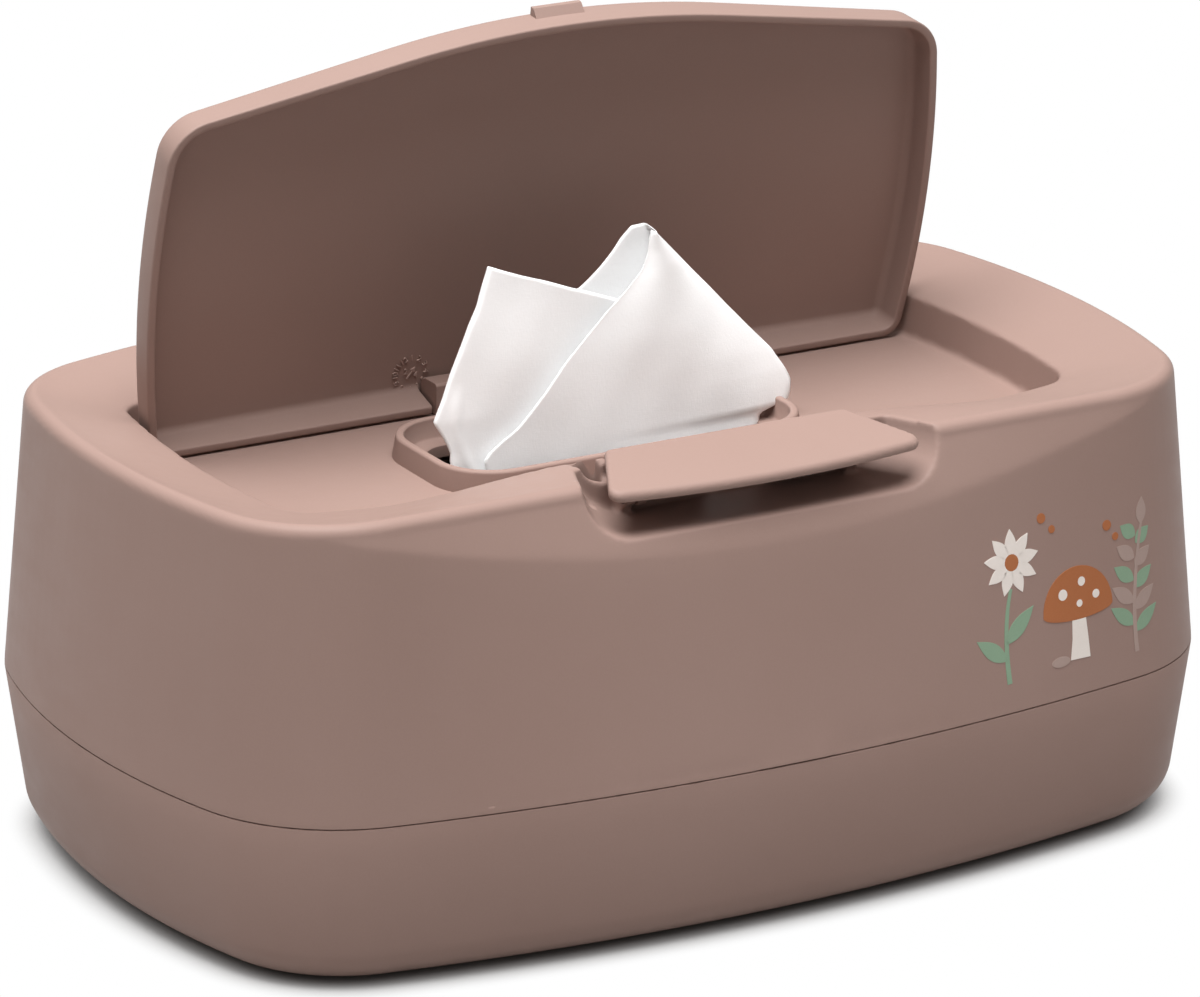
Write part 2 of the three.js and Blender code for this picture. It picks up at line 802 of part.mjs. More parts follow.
function lidBlock(inset, bottom, plate, radius) {
  const plan = (extra) => rounded(grown(lidCorners, -inset - extra), arc_steps);
  const rings = [level(plan(0), bottom), crowned(plan(lid_draft), plate + radius)];
  for (let k = 1; k <= round_steps; k += 1) {
    const turn = (quarter_turn * k) / round_steps;
    const extra = lid_draft + radius * (1 - Math.cos(turn));
    rings.push(crowned(plan(extra), plate + radius * (1 - Math.sin(turn))));
  }
  const last = plan(lid_draft + radius);
  crown_shares.forEach((share) => rings.push(crowned(shrunk(last, share), plate)));
  return loft(rings);
}

// Two ears on the hinge pin, inside the bracket's window
function lidEars() {
  const inner = bracket_window_half - ear_gap - ear_width;
  const ear = (low) => {
    const round = rodAlongX(ear_radius, low, low + ear_width, pivot_y, pivot_height);
    const top = lid_edge_height + lidHeight(inner, pivot_y) - lid_plate / 2;
    const web = block(low, low + ear_width, pivot_y - ear_radius, pivot_y + ear_radius, pivot_height, top);
    return round.add(web);
  };
  return ear(inner).add(ear(-inner - ear_width));
}

function lidCatch() {
  const top = lid_edge_height + lidHeight(0, lidFrontY) - catch_below_top;
  const profile = [
    [lidFrontY + lid_wall / 2, top],
    [lidFrontY - catch_reach, top],
    [lidFrontY - catch_reach, top - catch_height / 3],
    [lidFrontY + lid_wall / 2, top - catch_height],
  ].reverse();
  return barAlongX(profile, -catch_width / 2, catch_width / 2);
}

function rearRounding() {
  const corner = block(
    -box_width / 2,
    box_width / 2,
    lid_rear_y - rear_edge_round,
    lid_rear_y + overrun,
    lid_edge_height - overrun,
    lid_edge_height + rear_edge_round,
  );
  const kept = rodAlongX(
    rear_edge_round,
    -box_width,
    box_width,
    lid_rear_y - rear_edge_round,
    lid_edge_height + rear_edge_round,
  );
  return corner.subtract(kept);
}

function lidPanel() {
  const shell = lidBlock(0, lid_edge_height, 0, lid_edge_radius)
    .subtract(lidBlock(lid_wall, lid_edge_height - overrun, lid_plate, lid_edge_radius / 2));
  const gapHalf = bracket_half_width + ear_gap;
  const gapTop = lid_edge_height + lidHeight(gapHalf, lid_rear_y) - lid_plate;
  const gap = block(-gapHalf, gapHalf, pivot_y, lid_rear_y + overrun, lid_edge_height - overrun, gapTop);
  return shell.subtract(gap).add(lidEars()).add(lidCatch()).subtract(rearRounding()).subtract(hingePinHole());
}

// Hinge bracket: round over the pin, with a window for the spring and the lid's ears
function hingeBracket() {
  const base = deck_height + seat_gap;
  const profile = [[pivot_y - bracket_front, base], [pivot_y + bracket_radius, base]];
  for (let k = 0; k <= pin_sides / 2; k += 1) {
    const turn = (bracket_arc_share * Math.PI * k) / (pin_sides / 2);
    profile.push([pivot_y + bracket_radius * Math.cos(turn), pivot_height + bracket_radius * Math.sin(turn)]);
  }
  const body = barAlongX(profile, -bracket_half_width, bracket_half_width);
  const window = block(
    -bracket_window_half,
    bracket_window_half,
    pivot_y - ear_radius - ear_gap,
    recess_back_y,
    base + lid_spring_wire,
    rim_front_height,
  );
  const holeTop = base + screw_bite + seat_gap;
  const screwHole = (x) => rodAlongZ(screw_radius + pin_clearance, x, pivot_y, base - overrun, holeTop);
  return body
    .subtract(window)
    .subtract(hingePinHole())
    .subtract(screwHole(bracket_screw_spacing / 2))
    .subtract(screwHole(-bracket_screw_spacing / 2));
}

function bracketScrew(x) {
  const seat = deck_height - deck_thickness - under_rib_height - seat_gap;
  const tip = deck_height + seat_gap + screw_bite;
  const shank = rodAlongZ(screw_radius, x, pivot_y, seat - screw_head_height / 2, tip);
  return shank.add(rodAlongZ(screw_head_radius, x, pivot_y, seat - screw_head_height, seat));
}

// Lever button: a sloping plate with a bowed lip, two cheeks on the pin and a hook over the catch
function buttonPlate() {
  const bowY = button_lip_y - 2 * button_lip_bow;
  const lipArc = (button_lip_half ** 2 + button_lip_bow ** 2) / (2 * button_lip_bow);
  const outline = rounded([
    [0, bowY, lipArc * lip_arc_share],
    [button_lip_half, button_lip_y, button_corner_radius],
    [button_back_half, button_back_y, button_corner_radius / 2],
    [-button_back_half, button_back_y, button_corner_radius / 2],
    [-button_lip_half, button_lip_y, button_corner_radius],
  ], arc_steps);
  const slope = (button_back_height - button_lip_height) / (button_back_y - button_lip_y);
  const top = (y) => button_back_height - slope * (button_back_y - y);
  const ring = (inset, drop) => {
    const middle = (button_back_y + button_lip_y) / 2;
    return outline.map((p) => {
      const x = p.x * (1 - inset / button_lip_half);
      const y = middle + (p.y - middle) * (1 - (2 * inset) / (button_back_y - button_lip_y));
      return new THREE.Vector3(x, y, top(y) - drop);
    });
  };
  const round = button_thickness / 2;
  const rings = [];
  for (let k = -round_steps; k <= round_steps; k += 1) {
    const turn = (quarter_turn * k) / round_steps;
    rings.push(ring(round * (1 - Math.cos(turn)) * button_round_share, round * (1 - Math.sin(turn))));
  }
  return loft(rings);
}

function buttonCheek(x) {
  const profile = [];
  for (let k = 0; k <= pin_sides / 2; k += 1) {
    const turn = Math.PI + (Math.PI * k) / (pin_sides / 2);
    const y = button_pivot_y + button_boss_radius * Math.cos(turn);
    profile.push([y, button_pivot_height + button_boss_radius * Math.sin(turn)]);
  }
  const high = button_lip_height - button_thickness / 2;
  profile.push([button_pivot_y + button_boss_radius, high]);
  profile.push([button_pivot_y - 2 * button_boss_radius, high]);
  return barAlongX(profile, x, x + cheek_thickness);
}

function latchButton() {
  const catchTop = lid_edge_height + lidHeight(0, lidFrontY) - catch_below_top;
  const lift = (lid_rear_y - lidFrontY) * Math.sin(rad(lid_closed_rise));
  const hookLow = catchTop + lift + hook_clearance;
  const hookBack = lidFrontY - catch_reach - hook_clearance;
  const hook = block(
    -hook_width / 2,
    hook_width / 2,
    hookBack - 2 * hook_thickness,
    hookBack,
    hookLow,
    button_back_height - button_thickness / 2,
  );
  return buttonPlate()
    .add(buttonCheek(cheek_offset))
    .add(buttonCheek(-cheek_offset - cheek_thickness))
    .add(hook)
    .subtract(buttonPinHole());
}

// Tray: tapered walls, rounded towards the floor
const tray_top = seam_height - seam_gap / 2;

function trayRings(wall) {
  const radius = tray_bottom_radius - wall;
  const floor = tray_floor_height + wall;
  const taper = (z) => tray_taper * (1 - (z - tray_floor_height) / (tray_top - tray_floor_height));
  const rings = [];
  for (let k = 0; k <= round_steps + 1; k += 1) {
    const turn = (quarter_turn * k) / (round_steps + 1);
    const z = floor + radius * (1 - Math.cos(turn));
    rings.push(level(planOutline(seamPlan, taper(z) + wall + radius * (1 - Math.sin(turn))), z));
  }
  return rings;
}

function tongue() {
  const outside = tray_wall + tongue_clearance;
  const ring = (inset, z) => (
    z > tray_top
      ? wallRing(inset, () => (z - wall_base) / (wall_top - wall_base))
      : level(planOutline(seamPlan, inset), z)
  );
  const outer = loft([
    ring(outside, tray_top - 2 * tongue_height),
    ring(outside - 2 * tongue_clearance, tray_top - tongue_height),
    ring(outside - 2 * tongue_clearance, tray_top - tongue_clearance),
    ring(outside, tray_top),
    ring(outside, tray_top + tongue_height - tongue_clearance),
    ring(outside + tongue_clearance, tray_top + tongue_height),
  ]);
  const inside = outside + tongue_thickness;
  const inner = loft([
    ring(outside - tongue_clearance, tray_top - 2 * tongue_height - overrun),
    ring(outside - tongue_clearance, tray_top - 2 * tongue_height),
    ring(inside, tray_top - tongue_height),
    ring(inside, tray_top),
    ring(inside, tray_top + tongue_height + overrun),
  ]);
  return outer.subtract(inner);
}

function footPlaces() {
  const x = foot_spacing_x / 2;
  const y = foot_spacing_y / 2;
  return [['front_left', -x, -y], ['front_right', x, -y], ['back_left', -x, y], ['back_right', x, y]];
}

function lowerTray() {
  const outer = loft([...trayRings(0), level(planOutline(seamPlan, 0), tray_top)]);
  const inner = loft([...trayRings(tray_wall), level(planOutline(seamPlan, tray_wall), tray_top + overrun)]);
  let tray = outer.subtract(inner);
  const floor = tray_floor_height + tray_wall;
  for (let k = 0; k < floor_rib_count; k += 1) {
    const x = (k - (floor_rib_count - 1) / 2) * floor_rib_spacing;
    const rib = block(
      x - floor_rib_thickness / 2,
      x + floor_rib_thickness / 2,
      -floor_rib_length / 2,
      floor_rib_length / 2,
      floor - tray_wall / 2,
      floor + floor_rib_height,
    );
    tray = tray.add(rib);
  }
  tray = tray.add(tongue());
  footPlaces().forEach(([, x, y]) => {
    tray = tray.subtract(rodAlongZ(foot_diameter / 2 + foot_fit, x, y, 0, foot_thickness + foot_fit));
  });
  return tray;
}

function foot(x, y) {
  const radius = foot_diameter / 2;
  const profile = [
    new THREE.Vector2(0, 0),
    new THREE.Vector2(radius - foot_fit, 0),
    new THREE.Vector2(radius, foot_fit),
    new THREE.Vector2(radius, foot_thickness),
    new THREE.Vector2(0, foot_thickness),
  ];
  const geometry = new THREE.LatheGeometry(profile, pin_sides);
  geometry.rotateX(quarter_turn);
  geometry.translate(x, y, 0);
  return toSolid(geometry);
}

// Springs: a foot, the curls and a leg in one wire
class SpringCurve extends THREE.Curve {
  constructor(spring) {
    super();
    this.spring = spring;
  }

  getPoint(t, target = new THREE.Vector3()) {
    const { radius, curls, pitch, leg, foot: footLength, lean } = this.spring;
    const sweep = full_turn * curls + lean;
    const coil = Math.hypot(sweep * radius, pitch * curls);
    const total = footLength + coil + leg;
    const along = t * total;
    const half = (pitch * curls) / 2;
    const point = (angle, share, beyond) => target.set(
      THREE.MathUtils.lerp(-half, half, share),
      radius * Math.cos(angle) - beyond * Math.sin(angle),
      radius * Math.sin(angle) + beyond * Math.cos(angle),
    );
    if (along < footLength) return point(0, 0, along - footLength);
    if (along > footLength + coil) return point(sweep, 1, along - footLength - coil);
    const share = (along - footLength) / coil;
    return point(sweep * share, share, 0);
  }
}

function springSolid(name, spring) {
  const curve = new SpringCurve(spring);
  const section = new THREE.Shape();
  for (let k = 0; k < spring_sides; k += 1) {
    const angle = (full_turn * k) / spring_sides;
    const place = new THREE.Vector2(Math.cos(angle), Math.sin(angle)).multiplyScalar(spring.wire / 2);
    if (k === 0) section.moveTo(place.x, place.y);
    else section.lineTo(place.x, place.y);
  }
  section.closePath();
  const curl = full_turn * spring.radius;
  const steps = Math.round((curve.getLength() / curl) * curl_steps);
  const geometry = new THREE.ExtrudeGeometry(section, { steps, bevelEnabled: false, extrudePath: curve });
  const points = curve.getSpacedPoints(steps);
  let least = Infinity;
  points.forEach((a, i) => points.slice(i + curl_steps / 2).forEach((b) => {
    least = Math.min(least, a.distanceTo(b) - spring.wire);
  }));
  console.log(name, 'least gap of the wire to itself in mm', least.toFixed(2));
  geometry.translate(spring.x, spring.y, spring.z);
  return toSolid(geometry);
}

function lidSpring() {
  return springSolid('lid_spring', {
    wire: lid_spring_wire,
    radius: lid_spring_radius,
    curls: lid_spring_curls,
    pitch: lid_spring_pitch,
    leg: lid_spring_leg,
    foot: lid_spring_foot,
    lean: rad(lid_open_lean),
    x: 0,
    y: pivot_y,
    z: pivot_height,
  });
}

function buttonSpring() {
  return springSolid('button_spring', {
    wire: button_spring_wire,
    radius: button_spring_radius,
    curls: button_spring_curls,
    pitch: button_spring_pitch,
    leg: button_spring_leg,
    foot: button_spring_foot,
    lean: 0,
    x: (hook_width / 2 + cheek_offset) / 2,
    y: button_pivot_y,
    z: button_pivot_height,
  });
}

// Wipes: the stack, and the next wipe standing up through the slot
const stack_base = tray_floor_height + tray_wall + floor_rib_height + seat_gap;

function wipesStack() {
  const corners = roundedRectangle(stack_width / 2, stack_depth / 2, 0, stack_corner_radius);
  const outline = rounded(corners, arc_steps);
  const side = stack_base + stack_height - stack_crown;
  const rings = [level(outline, stack_base), level(outline, side - stack_crown / 2)];
  stack_crown_shares.forEach((share) => {
    const ring = outline.map((p) => p.clone().multiplyScalar(share));
    rings.push(level(ring, side + stack_crown * (1 - share ** 4)));
  });
  return loft(rings);
}

function tableAt(heights, values, z) {
  const last = heights.length - 1;
  if (z <= heights[0]) return values[0];
  for (let i = 0; i < last; i += 1) {
    if (z <= heights[i + 1]) {
      return THREE.MathUtils.mapLinear(z, heights[i], heights[i + 1], values[i], values[i + 1]);
    }
  }
  return values[last];
}

// Columns run from the left edge to the fold line, and on from it to the right edge
function wipePoint(column, row) {
  const flap = column > wipe_columns;
  const a = flap ? (column - wipe_columns - 1) / wipe_columns : column / wipe_columns;
  let top = wipe_right_peak - wipe_flap_drop * a;
  if (!flap && a < wipe_valley_share) {
    top = THREE.MathUtils.lerp(wipe_left_peak, wipe_valley, smooth(a, 0, wipe_valley_share));
  } else if (!flap) {
    top = THREE.MathUtils.lerp(wipe_valley, wipe_right_peak, smooth(a, wipe_valley_share, 1));
  }
  const low = wipe_heights[0];
  const z = THREE.MathUtils.lerp(low, top, row / wipe_rows);
  const left = tableAt(wipe_heights, wipe_left_edge, z);
  const fold = tableAt(wipe_heights, wipe_fold_line, z);
  const right = tableAt(wipe_heights, wipe_right_edge, z);
  const x = flap
    ? THREE.MathUtils.lerp(Math.min(fold + wipe_fold_width / 2, right), right, a)
    : THREE.MathUtils.lerp(left, fold - wipe_fold_width / 2, a);
  const rise = smooth(z, wipe_heights[1], wipe_right_peak);
  const lean = wipe_lean_back * rise ** 2;
  const step = flap ? -wipe_fold_depth * (1 - a ** 2) : wipe_fold_depth * a ** 2 * rise;
  const wave = wipe_wave_depth * Math.sin(Math.PI * wipe_wave_count * a) * (flap ? 1 : -1);
  const y = collar_centre_y + lean + step * Math.min(rise * 2, 1) + wave;
  return new THREE.Vector3(x, y, z);
}

function popupWipe() {
  const columns = 2 * wipe_columns + 2;
  const positions = [];
  const index = [];
  for (let side = 0; side < 2; side += 1) {
    for (let c = 0; c < columns; c += 1) {
      for (let r = 0; r <= wipe_rows; r += 1) {
        const p = wipePoint(c, r);
        const offset = (side - 1 / 2) * wipe_thickness;
        positions.push(p.x, p.y + offset, p.z);
      }
    }
  }
  const count = columns * (wipe_rows + 1);
  const at = (side, c, r) => side * count + c * (wipe_rows + 1) + r;
  const face = (a, b, c, d) => index.push(a, b, c, a, c, d);
  for (let c = 0; c + 1 < columns; c += 1) {
    for (let r = 0; r < wipe_rows; r += 1) {
      face(at(0, c, r), at(0, c + 1, r), at(0, c + 1, r + 1), at(0, c, r + 1));
      face(at(1, c, r), at(1, c, r + 1), at(1, c + 1, r + 1), at(1, c + 1, r));
    }
    face(at(0, c, 0), at(1, c, 0), at(1, c + 1, 0), at(0, c + 1, 0));
    face(at(0, c, wipe_rows), at(0, c + 1, wipe_rows), at(1, c + 1, wipe_rows), at(1, c, wipe_rows));
  }
  for (let r = 0; r < wipe_rows; r += 1) {
    const end = columns - 1;
    face(at(0, 0, r), at(0, 0, r + 1), at(1, 0, r + 1), at(1, 0, r));
    face(at(0, end, r), at(1, end, r), at(1, end, r + 1), at(0, end, r + 1));
  }
  const geometry = new THREE.BufferGeometry();
  geometry.setAttribute('position', new THREE.Float32BufferAttribute(positions, 3));
  geometry.setIndex(index);
  return toSolid(geometry);
}

// Materials
const satin_roughness = 0.45;
const rubber_roughness = 0.9;
const wire_roughness = 0.3;
const screw_roughness = 0.4;
const cloth_roughness = 0.95;

function plastic(name, color, roughness) {
  return new THREE.MeshStandardMaterial({ name, color, roughness, metalness: 0 });
}

function steel(name, color, roughness) {
  return new THREE.MeshStandardMaterial({ name, color, roughness, metalness: 1 });
}

function cloth(name, color) {
  return new THREE.MeshStandardMaterial({ name, color, roughness: cloth_roughness, metalness: 0 });
}

const shellPlastic = plastic('shell_plastic', 0xb39088, satin_roughness);
const trayPlastic = plastic('tray_plastic', 0xa8867e, satin_roughness);
const lidPlastic = plastic('lid_plastic', 0xad8b83, satin_roughness);
const buttonPlastic = plastic('button_plastic', 0xb8968e, satin_roughness);
const bracketPlastic = plastic('bracket_plastic', 0x9a7a72, satin_roughness);
const footRubber = plastic('foot_rubber', 0x6e6460, rubber_roughness);
const springSteel = steel('spring_steel', 0xb9bcc0, wire_roughness);
const pinSteel = steel('pin_steel', 0xa9acb0, wire_roughness);
const screwSteel = steel('screw_steel', 0x9a9da2, screw_roughness);
const wipeCloth = cloth('wipe_cloth', 0xf2f0ec);
const stackCloth = cloth('stack_cloth', 0xe9e6e1);

// Assembly
const trayBody = new THREE.Group();
trayBody.name = 'tray';
trayBody.add(meshOf('lower_tray', lowerTray(), trayPlastic));
footPlaces().forEach(([name, x, y]) => {
  const pad = meshOf(`foot_${name}`, foot(0, 0), footRubber);
  pad.position.set(x, y, 0);
  trayBody.add(pad);
});
trayBody.add(meshOf('wipes_stack', wipesStack(), stackCloth));

const pinHalf = bracket_half_width - pin_end_depth;
const lugOuter = cheek_offset + cheek_thickness + lug_gap + lug_thickness;
const coverBody = new THREE.Group();
coverBody.name = 'cover';
coverBody.add(meshOf('upper_shell', upperShell(), shellPlastic));
coverBody.add(meshOf('hinge_bracket', hingeBracket(), bracketPlastic));
coverBody.add(meshOf('bracket_screw_left', bracketScrew(-bracket_screw_spacing / 2), screwSteel));
coverBody.add(meshOf('bracket_screw_right', bracketScrew(bracket_screw_spacing / 2), screwSteel));
const hingePin = rodAlongX(hinge_pin_radius, -pinHalf, pinHalf, pivot_y, pivot_height);
coverBody.add(meshOf('hinge_pin', hingePin, pinSteel));
coverBody.add(meshOf('lid_spring', lidSpring(), springSteel));
coverBody.add(meshOf('popup_wipe', popupWipe(), wipeCloth));
const buttonPin = rodAlongX(button_pin_radius, -lugOuter, lugOuter, button_pivot_y, button_pivot_height);
coverBody.add(meshOf('button_pin', buttonPin, pinSteel));
coverBody.add(meshOf('button_spring', buttonSpring(), springSteel));

const lidBody = new THREE.Group();
lidBody.name = 'lid';
lidBody.position.set(0, pivot_y, pivot_height);
lidBody.rotation.x = rad(lid_open_lean) - quarter_turn;
const lidMesh = meshOf('lid_panel', lidPanel().translate(0, -pivot_y, -pivot_height), lidPlastic);
lidBody.add(lidMesh);

const buttonBody = new THREE.Group();
buttonBody.name = 'button';
buttonBody.add(meshOf('latch_button', latchButton(), buttonPlastic));

const wipesBox = new THREE.Group();
wipesBox.name = 'wipes_box';
wipesBox.add(trayBody, coverBody, lidBody, buttonBody);

export default wipesBox;
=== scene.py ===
import json
import math

import bmesh
import bpy
import numpy as np
from mathutils import Matrix, Vector


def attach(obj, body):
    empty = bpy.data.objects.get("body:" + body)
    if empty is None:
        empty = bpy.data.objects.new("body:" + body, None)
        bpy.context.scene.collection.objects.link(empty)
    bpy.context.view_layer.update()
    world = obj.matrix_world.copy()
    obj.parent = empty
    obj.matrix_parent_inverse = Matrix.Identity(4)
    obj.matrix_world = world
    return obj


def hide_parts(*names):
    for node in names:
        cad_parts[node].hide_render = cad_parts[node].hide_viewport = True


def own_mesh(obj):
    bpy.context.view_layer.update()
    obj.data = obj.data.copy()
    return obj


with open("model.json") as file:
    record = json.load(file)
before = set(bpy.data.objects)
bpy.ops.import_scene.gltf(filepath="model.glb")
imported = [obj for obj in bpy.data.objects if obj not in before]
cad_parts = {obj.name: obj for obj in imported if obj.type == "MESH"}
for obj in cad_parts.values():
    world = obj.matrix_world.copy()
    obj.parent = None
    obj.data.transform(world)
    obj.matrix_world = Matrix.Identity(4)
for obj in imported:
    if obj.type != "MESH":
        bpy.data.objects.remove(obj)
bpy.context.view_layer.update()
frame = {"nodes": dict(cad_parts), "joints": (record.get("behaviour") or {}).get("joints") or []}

# Sizes are in millimetres, as on the drawing of the box, and meshes are made in metres
MM = 0.001

# Plan of the box at the seam and at the top edge
SEAM_PLAN = dict(half=126.3, front=-86.0, back=86.0, front_arc=468.0, back_arc=370.0, side_arc=184.6,
                 front_corner=37.7, back_corner=43.9)
TOP_PLAN = dict(half=120.1, front=-70.95, back=76.7, front_arc=8000.0, back_arc=345.0, side_arc=207.0,
                front_corner=28.9, back_corner=29.0)

# Heights
FLOOR_HEIGHT = 1.0
SEAM_HEIGHT = 37.7
SEAM_LINE = 0.22
DECK_HEIGHT = 84.8
RIM_FRONT_HEIGHT = 100.4
RIM_BACK_HEIGHT = 98.8
CREASE_HEIGHT = 83.7
CREASE_ARC = 350.0
CREASE_STAND_OUT = 2.7
CREASE_SOFTNESS = 0.06

# Walls and edges
WALL = 2.4
TOP_EDGE_RADIUS = 2.6
TRAY_TAPER = 4.8
TRAY_BOTTOM_RADIUS = 8.1
TRAY_TOP = SEAM_HEIGHT - SEAM_LINE / 2
DECK_THICKNESS = 2.4
UNDER_RIB_HEIGHT = 5.0
UNDER_RIB_THICKNESS = 1.6
UNDER_RIB_Y = 34.0
BOSS_SPACING = 41.0
BOSS_PLACES = (-BOSS_SPACING / 2, BOSS_SPACING / 2)
SCREW_BOSS_RADIUS = 4.0
SCREW_HOLE_RADIUS = 1.5

# Recess that the lid closes into
RECESS_GAP = 1.0
RECESS_BACK = 41.0
RECESS_SIDE_EDGE = 94.1
RECESS_BACK_EDGE = 93.4
HUMP_HEIGHT = 5.6
HUMP_INNER = 28.0
HUMP_OUTER = 75.0
RECESS_DRAFT = 0.8

# Lid
LID_HALF = 95.5
LID_BOW = 2.4
LID_CORNER_LENGTH = 77.8
LID_FLANK_ANGLE = 9.5
LID_FRONT_ARC = 236.0
LID_CORNER_RADIUS = 10.7
LID_REAR_RADIUS = 5.0
LID_SIDE_HEIGHT = 8.0
LID_REAR_CROWN = 1.2
LID_FRONT_CROWN = 1.7
LID_EDGE_RADIUS = 1.8
LID_WALL = 1.9
LID_PLATE = 1.6
LID_DRAFT = 0.6
EDGE_BELOW_PIVOT = 4.9
REAR_BEHIND_PIVOT = 4.3
OPEN_LEAN = 11.0
LID_CLOSED_RISE = 1.0
EAR_RADIUS = 3.0
EAR_WIDTH = 5.8
EAR_GAP = 0.6
BRACKET_HALF = 25.0
BRACKET_FRONT = 5.2
BRACKET_BACK = 2.3
BRACKET_RISE = 1.9
BRACKET_SEAT_GAP = 0.3
BRACKET_BEVEL = 0.5
BRACKET_FLOOR = 0.7
SCREW_BITE = 2.9
PIN_END_DEPTH = 0.2
WINDOW_HALF = 16.0
PIN_HOLE_RADIUS = 1.3
REAR_EDGE_ROUND = 0.5
SWEEP_GAP = 0.2

# Catch on the lid's front edge
CATCH_WIDTH = 11.7
CATCH_HEIGHT = 3.4
CATCH_REACH = 1.2
CATCH_BELOW_TOP = 1.6

# Collar round the slot
COLLAR_X = -2.8
COLLAR_HALF_WIDTH = 44.2
COLLAR_HALF_DEPTH = 21.5
COLLAR_Y = -5.3
COLLAR_CORNER = 14.0
COLLAR_HEIGHT = 5.0
COLLAR_WALL = 2.6
COLLAR_DRAFT = 0.7
COLLAR_EDGE = 0.7
LEDGE_DROP = 4.7
LEDGE_WIDTH = 4.8

# Finger pocket and lever button
POCKET_HALF = 51.0
POCKET_BACK_HALF = 37.6
POCKET_FLOOR = 88.5
POCKET_CORNER = 12.0
POCKET_BACK = -57.8
POCKET_RISE = 1.0
POCKET_WALL = 2.0
BUTTON_BACK = -54.8
BUTTON_BACK_HALF = 28.8
BUTTON_LIP = -73.4
BUTTON_LIP_HALF = 38.0
BUTTON_LIP_BOW = 2.6
BUTTON_BACK_HEIGHT = 102.2
BUTTON_LIP_HEIGHT = 99.2
BUTTON_THICKNESS = 2.6
BUTTON_CORNER = 2.4
BUTTON_GAP = 0.75
WELL_WIDTH = 6.6
WELL_DEPTH = 3.0
WELL_Y = -54.7
WELL_LOW = 92.0
WELL_DIP = 5.4
WELL_CORNER = 1.2
DIP_ABOVE_RIM = 0.8
DIP_SIDES = 48
CHEEK_OFFSET = 23.0
CHEEK_THICKNESS = 2.2
BOSS_RADIUS = 2.3
LUG_GAP = 0.6
LUG_THICKNESS = 2.4
BUTTON_PIN_HOLE = 1.5
HOOK_WIDTH = 9.0
HOOK_THICKNESS = 1.8
HOOK_GAP = 0.3

# Tray, its feet and the stack in it
TONGUE_HEIGHT = 4.0
TONGUE_THICKNESS = 1.5
TONGUE_FIT = 0.4
FLOOR_RIBS = 7
RIB_SPACING = 26.0
RIB_LENGTH = 84.0
RIB_HEIGHT = 1.6
RIB_HALF_THICKNESS = 1.0
FOOT_RADIUS = 7.0
FOOT_THICKNESS = 1.8
FOOT_FIT = 0.3
FOOT_SIDES = 64
TREAD_GROOVE = 0.35
TREAD_RIDGES = (2.6, 4.2, 5.6)
FOOT_X = 88.0
FOOT_Y = 52.0
FOOT_PLACES = [(x, y) for x in (-FOOT_X, FOOT_X) for y in (-FOOT_Y, FOOT_Y)]
STACK_HALF_WIDTH = 95.0
STACK_HALF_DEPTH = 52.0
STACK_BASE = 5.3
STACK_LAYERS = 29
STACK_LAYER = 1.39
STACK_CORNER = 5.0
STACK_FIT = 0.8
STACK_SWELL = 1.6

# Dial and print
DIAL_X = -27.6
DIAL_Y = 29.8
DIAL_RADIUS = 3.75
DIAL_LETTER = 1.9
DIAL_DEPTH = 0.6
DIAL_NUMBERS = 12
DIAL_ARROW_TURN = -0.6
FILM_STEP = 2.0

# Light and floor
OVERHEAD_POWER = 38.5
FILL_POWER = 0.25
SIDE_POWER = 0.3
ROOM_LIGHT = 0.3
SHADOW_REACH = 0.009
SHADOW_DARK = 0.1
SHADOW_CLEAR = 0.9

# Camera, in metres and degrees as fitted to the photograph
CAMERA_TARGET = Vector((0.0, 0.0, 0.0668))
CAMERA_AZIMUTH = math.radians(-28.99)
CAMERA_ELEVATION = math.radians(19.01)
CAMERA_DISTANCE = 1.50536
CAMERA_LENS = 208.38
CAMERA_SHIFT = (0.00213, 0.01194)

# Fineness of the made meshes
COVER_GRAIN = 0.6
BUTTON_GRAIN = 0.35
BRACKET_GRAIN = 0.25
SEAM_BAND = 2.4
SEAM_CORNER = 0.65
ARC_STEPS = 20
ROUND_STEPS = 8
NOISE_LOW = 0.3
NOISE_HIGH = 0.7
GRAIN_DEPTH = 0.00006
OVERRUN = 6.0


def joint_point(name):
    for joint in frame["joints"]:
        if joint["name"] == name:
            return Vector(joint["pos_m"]) / MM
    raise KeyError(name)


PIVOT = joint_point("lid_hinge")
BUTTON_PIVOT = joint_point("button_press")


# Plan outlines


def corner_centre(front_y, front_radius, side_x, side_radius, radius, sign):
    start = Vector((0.0, front_y))
    span = Vector((side_x, 0.0)) - start
    reach = front_radius - radius
    other = side_radius - radius
    distance = span.length
    along = (reach**2 - other**2 + distance**2) / (2 * distance)
    across = math.sqrt(max(reach**2 - along**2, 0))
    span.normalize()
    normal = Vector((-span.y, span.x))
    base = start + span * along
    return max((base + normal * across, base - normal * across), key=lambda p: p.x + sign * p.y)


def arc(centre, radius, start, end, steps):
    turns = start + (end - start) * np.arange(steps) / steps
    return [(centre.x + radius * math.cos(t), centre.y + radius * math.sin(t)) for t in turns]


def angle_of(point, centre):
    return math.atan2(point.y - centre.y, point.x - centre.x)


